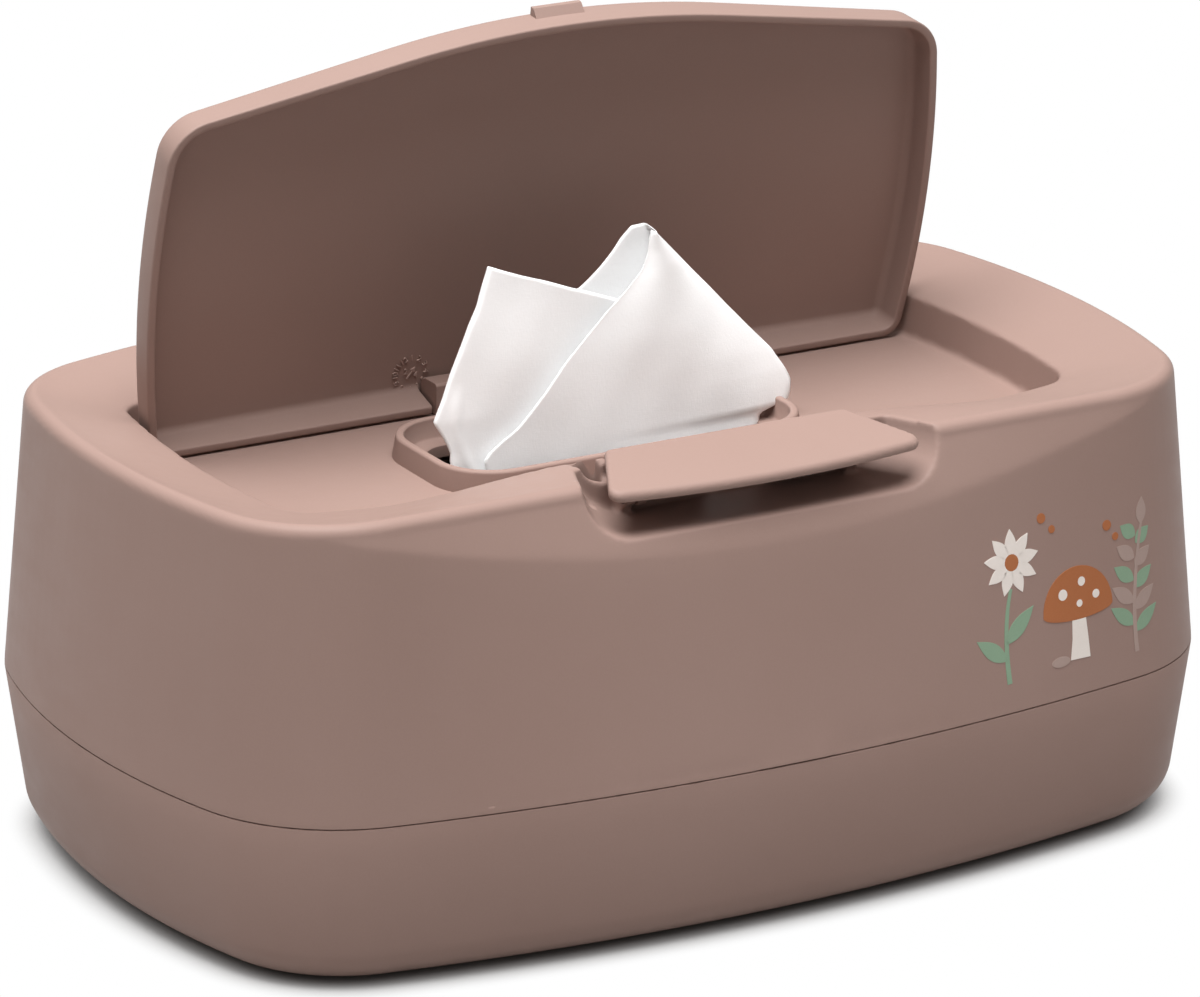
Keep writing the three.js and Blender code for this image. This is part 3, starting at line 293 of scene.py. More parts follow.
def plan_outline(plan, inset):
    """Outline of the box seen from above, from the middle of its front round by its right side."""
    front_arc = plan["front_arc"] - inset
    back_arc = plan["back_arc"] - inset
    side_arc = plan["side_arc"] - inset
    side = Vector((plan["half"] - inset - side_arc, 0.0))
    front = Vector((0.0, plan["front"] + inset + front_arc))
    back = Vector((0.0, plan["back"] - inset - back_arc))
    front_radius = plan["front_corner"] - inset
    back_radius = plan["back_corner"] - inset
    corner_f = corner_centre(front.y, front_arc, side.x, side_arc, front_radius, -1)
    corner_b = corner_centre(back.y, back_arc, side.x, side_arc, back_radius, 1)
    quarter = math.pi / 2
    turns = (
        -quarter,
        angle_of(corner_f, front),
        angle_of(corner_f, side),
        angle_of(corner_b, side),
        angle_of(corner_b, back),
        quarter,
    )
    stations = ((front, front_arc), (corner_f, front_radius), (side, side_arc),
                (corner_b, back_radius), (back, back_arc))
    half = []
    for k, (centre, radius) in enumerate(stations):
        half += arc(centre, radius, turns[k], turns[k + 1], ARC_STEPS)
    half.append((0.0, plan["back"] - inset))
    mirrored = [(-x, y) for x, y in half[-2:0:-1]]
    return np.array(half + mirrored)


def grown(corners, distance):
    """Corners of the outline that lies outside the given one by distance."""
    points = np.array([c[:2] for c in corners])
    ahead = np.roll(points, -1, axis=0) - points
    ahead /= np.linalg.norm(ahead, axis=1)[:, None]
    starts = points + np.stack([ahead[:, 1], -ahead[:, 0]], axis=1) * distance
    result = []
    for i, corner in enumerate(corners):
        before, along = starts[i - 1], ahead[i - 1]
        gap = starts[i] - before
        turn = along[0] * ahead[i][1] - along[1] * ahead[i][0]
        reach = (gap[0] * ahead[i][1] - gap[1] * ahead[i][0]) / turn
        place = before + along * reach
        result.append((place[0], place[1], max(corner[2] + distance, 0.2 * corner[2]), *corner[3:]))
    return result


def rounded(corners, steps=ARC_STEPS):
    """Outline through corners given as x, y and radius, and where needed the parts of the side that follows."""
    points = []
    count = len(corners)
    for i, corner in enumerate(corners):
        here = Vector(corner[:2])
        back = (Vector(corners[i - 1][:2]) - here).normalized()
        forth = (Vector(corners[(i + 1) % count][:2]) - here).normalized()
        half = math.acos(max(-1.0, min(1.0, back.dot(forth)))) / 2
        centre = here + (back + forth).normalized() * (corner[2] / math.sin(half))
        start = math.atan2(back.x, -back.y)
        sweep = math.pi - 2 * half
        for k in range(steps + 1):
            turn = start + sweep * k / steps
            points.append((centre.x + corner[2] * math.cos(turn), centre.y + corner[2] * math.sin(turn)))
        parts = corner[3] if len(corner) > 3 else 1
        if parts > 1:
            last = Vector(points[-1])
            end = rounded_start(corners, (i + 1) % count)
            points += [tuple(last.lerp(end, k / parts)) for k in range(1, parts)]
    return np.array(points)


def rounded_start(corners, i):
    here = Vector(corners[i][:2])
    back = (Vector(corners[i - 1][:2]) - here).normalized()
    forth = (Vector(corners[(i + 1) % len(corners)][:2]) - here).normalized()
    half = math.acos(max(-1.0, min(1.0, back.dot(forth)))) / 2
    return here + back * (corners[i][2] / math.tan(half))


def rectangle(half_width, half_depth, middle_y, radius):
    low, high = middle_y - half_depth, middle_y + half_depth
    return [(-half_width, low, radius), (half_width, low, radius),
            (half_width, high, radius), (-half_width, high, radius)]


def at_height(outline, height):
    return np.column_stack([outline, np.full(len(outline), height)])


# Meshes and solids


def mesh_object(name, points, faces):
    mesh = bpy.data.meshes.new(name)
    mesh.from_pydata((np.asarray(points, float) * MM).tolist(), [], faces)
    mesh.update()
    piece = bpy.data.objects.new(name, mesh)
    bpy.context.collection.objects.link(piece)
    return piece


def loft(rings):
    """Closed solid through rings of equally many points, counter-clockwise from above and stacked upwards."""
    count = len(rings[0])
    points = np.vstack(rings)
    faces = []
    for r in range(len(rings) - 1):
        low = r * count
        for i in range(count):
            j = (i + 1) % count
            faces.append((low + i, low + j, low + count + j, low + count + i))
    middle = len(points)
    points = np.vstack([points, rings[0].mean(axis=0), rings[-1].mean(axis=0)])
    top = (len(rings) - 1) * count
    for i in range(count):
        j = (i + 1) % count
        faces.append((middle, j, i))
        faces.append((middle + 1, top + i, top + j))
    return mesh_object("solid", points, faces)


def block(x0, x1, y0, y1, z0, z1):
    outline = np.array([(x0, y0), (x1, y0), (x1, y1), (x0, y1)])
    return loft([at_height(outline, z0), at_height(outline, z1)])


def bar_along_x(profile, low, high):
    outline = np.array(profile)
    rings = [np.column_stack([np.full(len(outline), x), outline]) for x in (low, high)]
    return loft(rings)


def rod_along_x(radius, low, high, y, z, sides=48):
    turns = 2 * math.pi * np.arange(sides) / sides
    return bar_along_x(np.column_stack([y + radius * np.cos(turns), z + radius * np.sin(turns)]), low, high)


def rod_along_z(radius, x, y, low, high, sides=64):
    turns = 2 * math.pi * np.arange(sides) / sides
    outline = np.column_stack([x + radius * np.cos(turns), y + radius * np.sin(turns)])
    return loft([at_height(outline, low), at_height(outline, high)])


def combine(target, operation, tools):
    for tool in tools:
        step = target.modifiers.new("step", "BOOLEAN")
        step.operation = operation
        step.solver = "MANIFOLD"
        step.object = tool
    settle(target)
    for tool in tools:
        bpy.data.objects.remove(tool)
    return target


def cut(target, *tools):
    return combine(target, "DIFFERENCE", tools)


def join(target, *tools):
    return combine(target, "UNION", tools)


def settle(piece):
    """Turn a piece with its modifiers into a plain mesh."""
    depsgraph = bpy.context.evaluated_depsgraph_get()
    made = bpy.data.meshes.new_from_object(piece.evaluated_get(depsgraph))
    piece.modifiers.clear()
    old = piece.data
    piece.data = made
    bpy.data.meshes.remove(old)
    return piece


def softened(piece, name, grain, passes, most_faces):
    """Moulded form of a solid: its edges are rounded as a mould leaves them, at about the grain's size."""
    remesh = piece.modifiers.new("remesh", "REMESH")
    remesh.mode = "VOXEL"
    remesh.voxel_size = grain * MM
    smooth = piece.modifiers.new("smooth", "SMOOTH")
    smooth.factor = 0.5
    smooth.iterations = passes
    settle(piece)
    triangles = 2 * len(piece.data.polygons)
    if triangles > most_faces:
        thin = piece.modifiers.new("thin", "DECIMATE")
        thin.ratio = most_faces / triangles
        settle(piece)
    piece.name = name
    piece.data.name = name
    piece.data.shade_smooth()
    return piece


def shade_by_angle(piece, degrees):
    piece.data.shade_smooth()
    mesh = bmesh.new()
    mesh.from_mesh(piece.data)
    for edge in mesh.edges:
        edge.smooth = len(edge.link_faces) == 2 and edge.calc_face_angle(0) < math.radians(degrees)
    mesh.to_mesh(piece.data)
    mesh.free()
    return piece


# Outer form of the cover

WALL_ROWS = np.concatenate([np.linspace(0, 1, 15), np.linspace(1.1, 2, 10)])
WALL_BASE = SEAM_HEIGHT + SEAM_LINE / 2
WALL_TOP = RIM_FRONT_HEIGHT - TOP_EDGE_RADIUS
LID_REAR = PIVOT.y + REAR_BEHIND_PIVOT
LID_EDGE = PIVOT.z - EDGE_BELOW_PIVOT
LID_MIDDLE = LID_REAR - LID_CORNER_LENGTH / 2
LID_CORNER = LID_REAR - LID_CORNER_LENGTH
LID_END = LID_HALF - LID_BOW
LID_BULGE = LID_HALF + LID_BOW
FLANK = math.radians(LID_FLANK_ANGLE)
LID_POINT = LID_CORNER - LID_END * math.tan(FLANK)
LID_FRONT = LID_POINT + LID_FRONT_ARC * (1 / math.cos(FLANK) - 1)
LID_SIDE_ARC = (LID_CORNER_LENGTH / 2 - LID_CORNER_RADIUS) * LID_CORNER_LENGTH / (4 * LID_BOW)
LID_CORNERS = [
    (0.0, LID_POINT, LID_FRONT_ARC),
    (LID_END, LID_CORNER, LID_CORNER_RADIUS),
    (LID_BULGE, LID_MIDDLE, LID_SIDE_ARC),
    (LID_END, LID_REAR, LID_REAR_RADIUS, 30),
    (-LID_END, LID_REAR, LID_REAR_RADIUS),
    (-LID_BULGE, LID_MIDDLE, LID_SIDE_ARC),
    (-LID_END, LID_CORNER, LID_CORNER_RADIUS),
]
RECESS_CORNERS = [
    (c[0], RECESS_BACK if c[1] > LID_MIDDLE + RECESS_GAP else c[1], c[2]) for c in grown(LID_CORNERS, RECESS_GAP)
]


def smoothstep(value, low, high):
    share = np.clip((value - low) / (high - low), 0, 1)
    return share * share * (3 - 2 * share)


def rim_height(y):
    share = (y - TOP_PLAN["front"]) / (TOP_PLAN["back"] - TOP_PLAN["front"])
    return RIM_FRONT_HEIGHT + (RIM_BACK_HEIGHT - RIM_FRONT_HEIGHT) * share


def recess_edge_height(x, y):
    side = np.abs(x)
    hump = HUMP_HEIGHT * (1 - smoothstep(side, HUMP_INNER, HUMP_OUTER))
    back = (1 - smoothstep(side, HUMP_OUTER, LID_HALF)) * smoothstep(y, LID_MIDDLE, RECESS_BACK)
    rear = (RECESS_BACK_EDGE - RECESS_SIDE_EDGE) * back
    return RECESS_SIDE_EDGE + np.where(y < LID_MIDDLE, hump, rear)


def wall_ring(inset, row):
    """Ring on the outer wall: row runs from 0 at the seam to 1 at the crease and 2 at the top edge."""
    high = plan_outline(TOP_PLAN, inset)
    low = plan_outline(SEAM_PLAN, inset)
    in_front = high[:, 1] < 0
    rise = CREASE_HEIGHT - WALL_BASE + np.where(in_front, high[:, 0] ** 2 / (2 * CREASE_ARC), 0)
    crease = np.minimum(rise / (WALL_TOP - WALL_BASE), 0.985)
    share = row * crease if row < 1 else crease + (row - 1) * (1 - crease)
    furthest = math.hypot(1, CREASE_SOFTNESS)
    bulge = (furthest - math.hypot(1 - row, CREASE_SOFTNESS)) / (furthest - CREASE_SOFTNESS)
    half_width = math.sqrt(2 * CREASE_ARC * (WALL_TOP - CREASE_HEIGHT))
    across = np.maximum(1 - (high[:, 0] / half_width) ** 2, 0)
    share = np.broadcast_to(share, (len(low),))
    points = low + (high - low) * share[:, None]
    points[:, 1] -= np.where(in_front, CREASE_STAND_OUT * across * bulge, 0)
    top = rim_height(high[:, 1]) - TOP_EDGE_RADIUS
    return np.column_stack([points, WALL_BASE + (top - WALL_BASE) * share])


def ray_hits(outline, directions, middle):
    """Points where rays from the middle leave a convex outline."""
    start = outline - middle
    edge = np.roll(start, -1, axis=0) - start
    turn = directions[:, :1] * edge[:, 1] - directions[:, 1:] * edge[:, 0]
    along = start[:, 0] * directions[:, 1:] - start[:, 1] * directions[:, :1]
    with np.errstate(divide="ignore", invalid="ignore"):
        share = along / turn
    good = (turn > 0) & (share >= -0.001) & (share <= 1.001)
    pick = good.argmax(axis=1)
    chosen = share[np.arange(len(directions)), pick][:, None]
    return start[pick] + edge[pick] * chosen + middle


def top_rings(inset, drop, rows):
    """Rings of the cover's top, from its outer edge down to the edge of the recess."""
    outer = plan_outline(TOP_PLAN, inset)
    middle = np.array([0.0, LID_MIDDLE])
    inner = ray_hits(rounded(grown(RECESS_CORNERS, -1.5)), outer - middle, middle)
    high = rim_height(outer[:, 1])
    low = recess_edge_height(inner[:, 0], inner[:, 1])
    rings = []
    for share in np.linspace(0, 1, rows):
        points = outer + (inner - outer) * share
        rings.append(np.column_stack([points, high + (low - high) * share**0.85 - drop]))
    return rings


def cover_block():
    rings = [wall_ring(0, row) for row in WALL_ROWS]
    for k in range(1, ROUND_STEPS):
        turn = math.pi / 2 * k / ROUND_STEPS
        outline = plan_outline(TOP_PLAN, TOP_EDGE_RADIUS * (1 - math.cos(turn)))
        rise = TOP_EDGE_RADIUS * (math.sin(turn) - 1)
        rings.append(np.column_stack([outline, rim_height(outline[:, 1]) + rise]))
    return loft(rings + top_rings(TOP_EDGE_RADIUS, 0, 12))


def cover_hollow():
    below = wall_ring(WALL, 0) - np.array([0, 0, OVERRUN])
    rings = [wall_ring(WALL, row) for row in np.linspace(0, 2, 9)]
    hollow = loft([below] + rings + top_rings(WALL + TOP_EDGE_RADIUS, WALL, 6))
    return cut(hollow, recess(WALL, DECK_HEIGHT - DECK_THICKNESS), pocket(POCKET_WALL))


def recess(extra, low):
    high = RIM_FRONT_HEIGHT + OVERRUN
    rings = []
    for z in (low, high):
        draft = RECESS_DRAFT * ((z - DECK_HEIGHT) / (RECESS_SIDE_EDGE - DECK_HEIGHT) - 1)
        rings.append(at_height(rounded(grown(RECESS_CORNERS, extra + draft)), z))
    return loft(rings)


def pocket(extra):
    reach = -SEAM_PLAN["front"] + OVERRUN
    high = RIM_FRONT_HEIGHT + 2 * OVERRUN
    rings = []
    ends = ((POCKET_BACK + extra, POCKET_BACK_HALF + extra, POCKET_RISE), (-reach, POCKET_HALF + extra, 0))
    for y, half, rise in ends:
        low = POCKET_FLOOR + rise - extra
        radius = POCKET_CORNER + extra
        corners = [(-half, low, radius), (half, low, radius), (half, high, radius), (-half, high, radius)]
        outline = rounded(corners)
        rings.append(np.column_stack([outline[:, 0], np.full(len(outline), y), outline[:, 1]]))
    return loft(rings)


def oval(inset, height):
    corners = rectangle(COLLAR_HALF_WIDTH - inset, COLLAR_HALF_DEPTH - inset, COLLAR_Y, COLLAR_CORNER - inset)
    return at_height(rounded(corners) + np.array([COLLAR_X, 0.0]), height)


def collar_ring():
    """Raised collar with its ledge, as one closed ring from the deck's underside over the rim to the slot."""
    low = DECK_HEIGHT - DECK_THICKNESS
    top = DECK_HEIGHT + COLLAR_HEIGHT
    ledge = top - LEDGE_DROP
    inner = COLLAR_WALL + COLLAR_DRAFT
    edge = inner + LEDGE_WIDTH - COLLAR_DRAFT
    profile = [(0.2, low), (0.0, DECK_HEIGHT - 0.3), (0.0, DECK_HEIGHT + 0.2)]
    for share in np.linspace(0, 1, 7):
        turn = share * math.pi / 2
        profile.append((COLLAR_DRAFT + COLLAR_EDGE * (1 - math.cos(turn)), top - COLLAR_EDGE * (1 - math.sin(turn))))
    for share in np.linspace(0, 1, 5):
        turn = share * math.pi / 2
        profile.append((COLLAR_WALL - 0.5 * (1 - math.sin(turn)), top - 0.5 * (1 - math.cos(turn))))
    profile += [(inner - 0.3, ledge + 0.5), (inner + 0.2, ledge), (edge - 0.5, ledge), (edge - 0.1, ledge - 0.2)]
    profile += [(edge, ledge - 0.7), (edge, low)]
    rings = [oval(inset, height) for inset, height in profile]
    return shade_by_angle(closed_ring("slot_collar", rings), 50)


def closed_ring(name, rings):
    """Closed band through rings that follow each other round a cross-section."""
    count = len(rings[0])
    faces = []
    for r in range(len(rings)):
        low = r * count
        high = (r + 1) % len(rings) * count
        for i in range(count):
            j = (i + 1) % count
            faces.append((low + i, low + j, high + j, high + i))
    return mesh_object(name, np.vstack(rings), faces)


def slot():
    inset = COLLAR_WALL + LEDGE_WIDTH / 2
    return loft([oval(inset, DECK_HEIGHT - DECK_THICKNESS - OVERRUN), oval(inset, DECK_HEIGHT + 2 * OVERRUN)])


def end_well():
    """A small well at the button's left end, and the curved dip in the wall in front of it."""
    turns = 2 * math.pi * np.arange(DIP_SIDES) / DIP_SIDES
    inner = -(BUTTON_BACK_HALF + BUTTON_GAP)
    corners = rectangle(WELL_WIDTH / 2, WELL_DEPTH / 2, WELL_Y, WELL_CORNER)
    outline = rounded(corners, 6) + np.array([inner - WELL_WIDTH / 2, 0.0])
    well = loft([at_height(outline, WELL_LOW), at_height(outline, RIM_FRONT_HEIGHT + OVERRUN)])
    x = inner + WELL_WIDTH * np.cos(turns)
    z = RIM_FRONT_HEIGHT + DIP_ABOVE_RIM + WELL_DIP * np.sin(turns)
    dip = loft([np.column_stack([x, np.full(DIP_SIDES, y), z]) for y in (WELL_Y, POCKET_BACK - 1.0)])
    return [well, dip]


def button_lugs():
    turns = math.pi / 2 + math.pi * np.arange(13) / 12
    profile = [(BUTTON_PIVOT.y + BOSS_RADIUS * math.cos(t), BUTTON_PIVOT.z + BOSS_RADIUS * math.sin(t))
               for t in turns]
    low = POCKET_FLOOR + POCKET_RISE - POCKET_WALL / 2
    back = POCKET_BACK + POCKET_WALL / 2
    profile += [(BUTTON_PIVOT.y, low), (back, low), (back, BUTTON_PIVOT.z + BOSS_RADIUS)]
    inner = CHEEK_OFFSET + CHEEK_THICKNESS + LUG_GAP
    return [bar_along_x(profile, x, x + LUG_THICKNESS) for x in (inner, -inner - LUG_THICKNESS)]


def underside():
    low = DECK_HEIGHT - DECK_THICKNESS
    half = LID_HALF - RECESS_DRAFT
    bosses = [rod_along_z(SCREW_BOSS_RADIUS, x, PIVOT.y, low - UNDER_RIB_HEIGHT, low + DECK_THICKNESS / 2)
              for x in BOSS_PLACES]
    ribs = [block(-half, half, y, y + UNDER_RIB_THICKNESS, low - UNDER_RIB_HEIGHT, low + DECK_THICKNESS / 2)
            for y in (COLLAR_Y - UNDER_RIB_Y, COLLAR_Y + UNDER_RIB_Y - UNDER_RIB_THICKNESS)]
    return bosses + ribs


def cover_solid():
    """Cover with its recess, pocket, slot, catch notch, bosses and lugs."""
    cover = cut(cover_block(), cover_hollow())
    widening = (BUTTON_LIP_HALF - BUTTON_BACK_HALF) / (BUTTON_BACK - BUTTON_LIP)
    seat_half = BUTTON_BACK_HALF + widening * (BUTTON_BACK - POCKET_BACK) + BUTTON_GAP
    seat_low = BUTTON_BACK_HEIGHT - BUTTON_THICKNESS - BUTTON_GAP
    seat_front = POCKET_BACK - OVERRUN / 2
    notch_half = CATCH_WIDTH / 2 + RECESS_GAP
    notch_low = LID_EDGE + LID_SIDE_HEIGHT - CATCH_HEIGHT
    sweep = math.hypot(REAR_BEHIND_PIVOT, EDGE_BELOW_PIVOT) - REAR_EDGE_ROUND * (math.sqrt(2) - 1) + SWEEP_GAP
    cover = cut(
        cover,
        recess(0, DECK_HEIGHT),
        pocket(0),
        block(-seat_half, seat_half, seat_front, LID_FRONT, seat_low, seat_low + OVERRUN),
        block(-notch_half, notch_half, seat_front, LID_FRONT, notch_low, seat_low + OVERRUN),
        rod_along_x(sweep, -LID_END, LID_END, PIVOT.y, PIVOT.z),
    )
    bed = BRACKET_HALF + EAR_GAP / 2
    bed_low = DECK_HEIGHT - DECK_THICKNESS / 2
    bed_back = RECESS_BACK - RECESS_GAP
    cover = join(cover, block(-bed, bed, PIVOT.y - OVERRUN, bed_back, bed_low, DECK_HEIGHT), *underside())
    screw_holes = [rod_along_z(SCREW_HOLE_RADIUS, x, PIVOT.y, DECK_HEIGHT - 3 * OVERRUN, DECK_HEIGHT + OVERRUN)
                   for x in BOSS_PLACES]
    cover = cut(cover, slot(), *screw_holes, *end_well())
    cover = join(cover, *button_lugs())
    hole = rod_along_x(BUTTON_PIN_HOLE, -POCKET_HALF, POCKET_HALF, BUTTON_PIVOT.y, BUTTON_PIVOT.z)
    return cut(cover, hole)


def tray_rings(wall):
    radius = TRAY_BOTTOM_RADIUS - wall
    low = FLOOR_HEIGHT + wall
    rings = []
    for k in range(2 * ROUND_STEPS + 1):
        turn = math.pi / 2 * k / (2 * ROUND_STEPS)
        z = low + radius * (1 - math.cos(turn))
        taper = TRAY_TAPER * (1 - (z - FLOOR_HEIGHT) / (TRAY_TOP - FLOOR_HEIGHT))
        rings.append(at_height(plan_outline(SEAM_PLAN, taper + wall + radius * (1 - math.sin(turn))), z))
    return rings


def tray_solid():
    rim = [at_height(plan_outline(SEAM_PLAN, inset), TRAY_TOP - drop)
           for inset, drop in ((0.0, 0.35), (0.1, 0.1), (0.35, 0.0))]
    tray = loft(tray_rings(0) + rim)
    inner = tray_rings(WALL) + [at_height(plan_outline(SEAM_PLAN, WALL), TRAY_TOP + OVERRUN)]
    tray = cut(tray, loft(inner))
    ribs = []
    for k in range(FLOOR_RIBS):
        x = (k - (FLOOR_RIBS - 1) / 2) * RIB_SPACING
        ribs.append(block(x - RIB_HALF_THICKNESS, x + RIB_HALF_THICKNESS, -RIB_LENGTH / 2, RIB_LENGTH / 2,
                          FLOOR_HEIGHT + WALL / 2, FLOOR_HEIGHT + WALL + RIB_HEIGHT))
    tray = join(tray, *ribs, tongue())
    seats = []
    for x, y in FOOT_PLACES:
        seats.append(rod_along_z(FOOT_RADIUS + FOOT_FIT, x, y, -OVERRUN, FOOT_THICKNESS + FOOT_FIT))
    return cut(tray, *seats)


def tongue():
    """Tongue round the tray's rim, which centres the cover on the tray."""
    profile = (
        (WALL + TONGUE_FIT, -2 * TONGUE_HEIGHT),
        (WALL - TONGUE_FIT, -TONGUE_HEIGHT),
        (WALL - TONGUE_FIT, -TONGUE_FIT),
        (WALL + TONGUE_FIT, 0.0),
        (WALL + TONGUE_FIT, TONGUE_HEIGHT - TONGUE_FIT),
        (WALL + 2 * TONGUE_FIT, TONGUE_HEIGHT),
    )
    outer = loft([tongue_ring(inset, TRAY_TOP + rise) for inset, rise in profile])
    inside = WALL + TONGUE_FIT + TONGUE_THICKNESS
    hollow = (
        (WALL, -2 * TONGUE_HEIGHT - OVERRUN),
        (WALL, -2 * TONGUE_HEIGHT),
        (inside, -TONGUE_HEIGHT),
        (inside, 0.0),
        (inside, TONGUE_HEIGHT + OVERRUN),
    )
    return cut(outer, loft([tongue_ring(inset, TRAY_TOP + rise) for inset, rise in hollow]))


def tongue_ring(inset, height):
    if height < SEAM_HEIGHT:
        return at_height(plan_outline(SEAM_PLAN, inset), height)
    high = plan_outline(TOP_PLAN, inset)
    low = plan_outline(SEAM_PLAN, inset)
    share = (height - WALL_BASE) / (WALL_TOP - WALL_BASE)
    return at_height(low + (high - low) * share, height)


def crisp_seam(piece):
    """Bring the wall just above the seam back to its exact form, so that the seam runs as an even line."""
    co = np.empty(3 * len(piece.data.vertices))
    piece.data.vertices.foreach_get("co", co)
    co = co.reshape(-1, 3) / MM
    near = co[:, 2] < WALL_BASE + SEAM_BAND
    part = co[near]
    turn = np.arctan2(part[:, 1], part[:, 0])
    far = np.hypot(part[:, 0], part[:, 1])
    rise = part[:, 2] - WALL_BASE
    outer, inner = (wall_reach(turn, rise, inset) for inset in (0.0, WALL))
    gap = np.minimum(outer - far, far - inner)
    face = np.where(outer - far < far - inner, outer, inner)
    corner = (gap < SEAM_CORNER) & (rise < SEAM_CORNER)
    below = (rise < gap) & ~corner
    hold = 1 - smoothstep(rise, SEAM_BAND / 2, SEAM_BAND)
    far_now = np.where(below, far, far + (face - far) * hold)
    part[:, :2] *= (far_now / far)[:, None]
    part[:, 2] = np.where(corner | below, WALL_BASE, part[:, 2])
    co[near] = part
    piece.data.vertices.foreach_set("co", (co * MM).ravel())
    return shade_by_angle(piece, 60)


def wall_reach(turn, rise, inset):
    """Distance of the wall's face from the middle of the box, in the directions turn, a little above the seam."""
    ends = []
    for height in (WALL_BASE, WALL_BASE + SEAM_BAND):
        ring = tongue_ring(inset, height)
        angles = np.arctan2(ring[:, 1], ring[:, 0])
        ends.append(np.interp(turn, angles, np.hypot(ring[:, 0], ring[:, 1]), period=2 * math.pi))
    return ends[0] + (ends[1] - ends[0]) * np.clip(rise / SEAM_BAND, 0, 1)


# Lid, made closed and level and then opened about its pivot


def lid_height(x, y):
    """Height of the crowned lid's top above its lower edge."""
    towards = np.clip((LID_REAR - y) / (LID_REAR - LID_FRONT), 0, 1)
    crown = LID_REAR_CROWN + (LID_FRONT_CROWN - LID_REAR_CROWN) * towards
    return LID_SIDE_HEIGHT + crown * (1 - (x / LID_HALF) ** 2)


def crowned(outline, drop):
    return np.column_stack([outline, LID_EDGE + lid_height(outline[:, 0], outline[:, 1]) - drop])


def lid_block(inset, bottom, plate, radius, edge):
    """Closed form under the lid's crown: edge lists the insets and heights of the rings at its lower end."""
    rings = [at_height(rounded(grown(LID_CORNERS, -inset - more)), bottom + rise) for more, rise in edge]
    rings.append(crowned(rounded(grown(LID_CORNERS, -inset - LID_DRAFT)), plate + radius))
    for k in range(1, ROUND_STEPS + 1):
        turn = math.pi / 2 * k / ROUND_STEPS
        plan = rounded(grown(LID_CORNERS, -inset - LID_DRAFT - radius * (1 - math.cos(turn))))
        rings.append(crowned(plan, plate + radius * (1 - math.sin(turn))))
    middle = np.array([0.0, LID_MIDDLE])
    for share in (0.9, 0.75, 0.6, 0.45, 0.3, 0.15):
        rings.append(crowned(middle + (plan - middle) * share, plate))
    return loft(rings)


def lid_ears():
    inner = WINDOW_HALF - EAR_GAP - EAR_WIDTH
    top = LID_EDGE + lid_height(inner, PIVOT.y) - LID_PLATE / 2
    parts = []
    for low in (inner, -inner - EAR_WIDTH):
        parts.append(rod_along_x(EAR_RADIUS, low, low + EAR_WIDTH, PIVOT.y, PIVOT.z))
        parts.append(block(low, low + EAR_WIDTH, PIVOT.y - EAR_RADIUS, PIVOT.y + EAR_RADIUS, PIVOT.z, top))
    return parts


def lid_catch():
    top = LID_EDGE + lid_height(0, LID_FRONT) - CATCH_BELOW_TOP
    profile = [
        (LID_FRONT + LID_WALL / 2, top - CATCH_HEIGHT),
        (LID_FRONT - CATCH_REACH, top - CATCH_HEIGHT / 3),
        (LID_FRONT - CATCH_REACH, top),
        (LID_FRONT + LID_WALL / 2, top),
    ]
    return bar_along_x(profile, -CATCH_WIDTH / 2, CATCH_WIDTH / 2)


def lid_solid():
    """Closed lid with its ears and catch, open under the hinge bracket, with a small round along its rear."""
    outside = ((0.4, 0.0), (0.2, 0.05), (0.05, 0.2), (0.0, 0.4))
    mouth = ((-0.4, -OVERRUN), (-0.4, 0.0), (-0.2, 0.05), (-0.05, 0.2), (0.0, 0.4))
    lid = cut(lid_block(0, LID_EDGE, 0, LID_EDGE_RADIUS, outside),
              lid_block(LID_WALL, LID_EDGE, LID_PLATE, LID_EDGE_RADIUS, mouth))
    gap_half = BRACKET_HALF + EAR_GAP
    gap_top = LID_EDGE + lid_height(gap_half, LID_REAR) - LID_PLATE
    lid = cut(lid, block(-gap_half, gap_half, PIVOT.y, LID_REAR + OVERRUN, LID_EDGE - OVERRUN, gap_top))
    lid = join(lid, *lid_ears(), lid_catch())
    corner_y, corner_z = LID_REAR - REAR_EDGE_ROUND, LID_EDGE + REAR_EDGE_ROUND
    corner = block(-LID_BULGE - OVERRUN, LID_BULGE + OVERRUN, corner_y, LID_REAR + OVERRUN,
                   LID_EDGE - OVERRUN, corner_z)
    kept = rod_along_x(REAR_EDGE_ROUND, -LID_BULGE - 2 * OVERRUN, LID_BULGE + 2 * OVERRUN, corner_y, corner_z)
    half = BRACKET_HALF + OVERRUN
    return cut(lid, cut(corner, kept), rod_along_x(PIN_HOLE_RADIUS, -half, half, PIVOT.y, PIVOT.z))


def open_lid(piece):
    """Turn a closed lid's mesh to the angle at which the lid stands open."""
    turn = Matrix.Rotation(math.radians(OPEN_LEAN - 90.0), 4, "X")
    place = Matrix.Translation(PIVOT * MM)
    piece.data.transform(place @ turn @ place.inverted())
    return piece


# Hinge bracket: a low box, round only behind the pin, with a window for the lid's ears and the spring


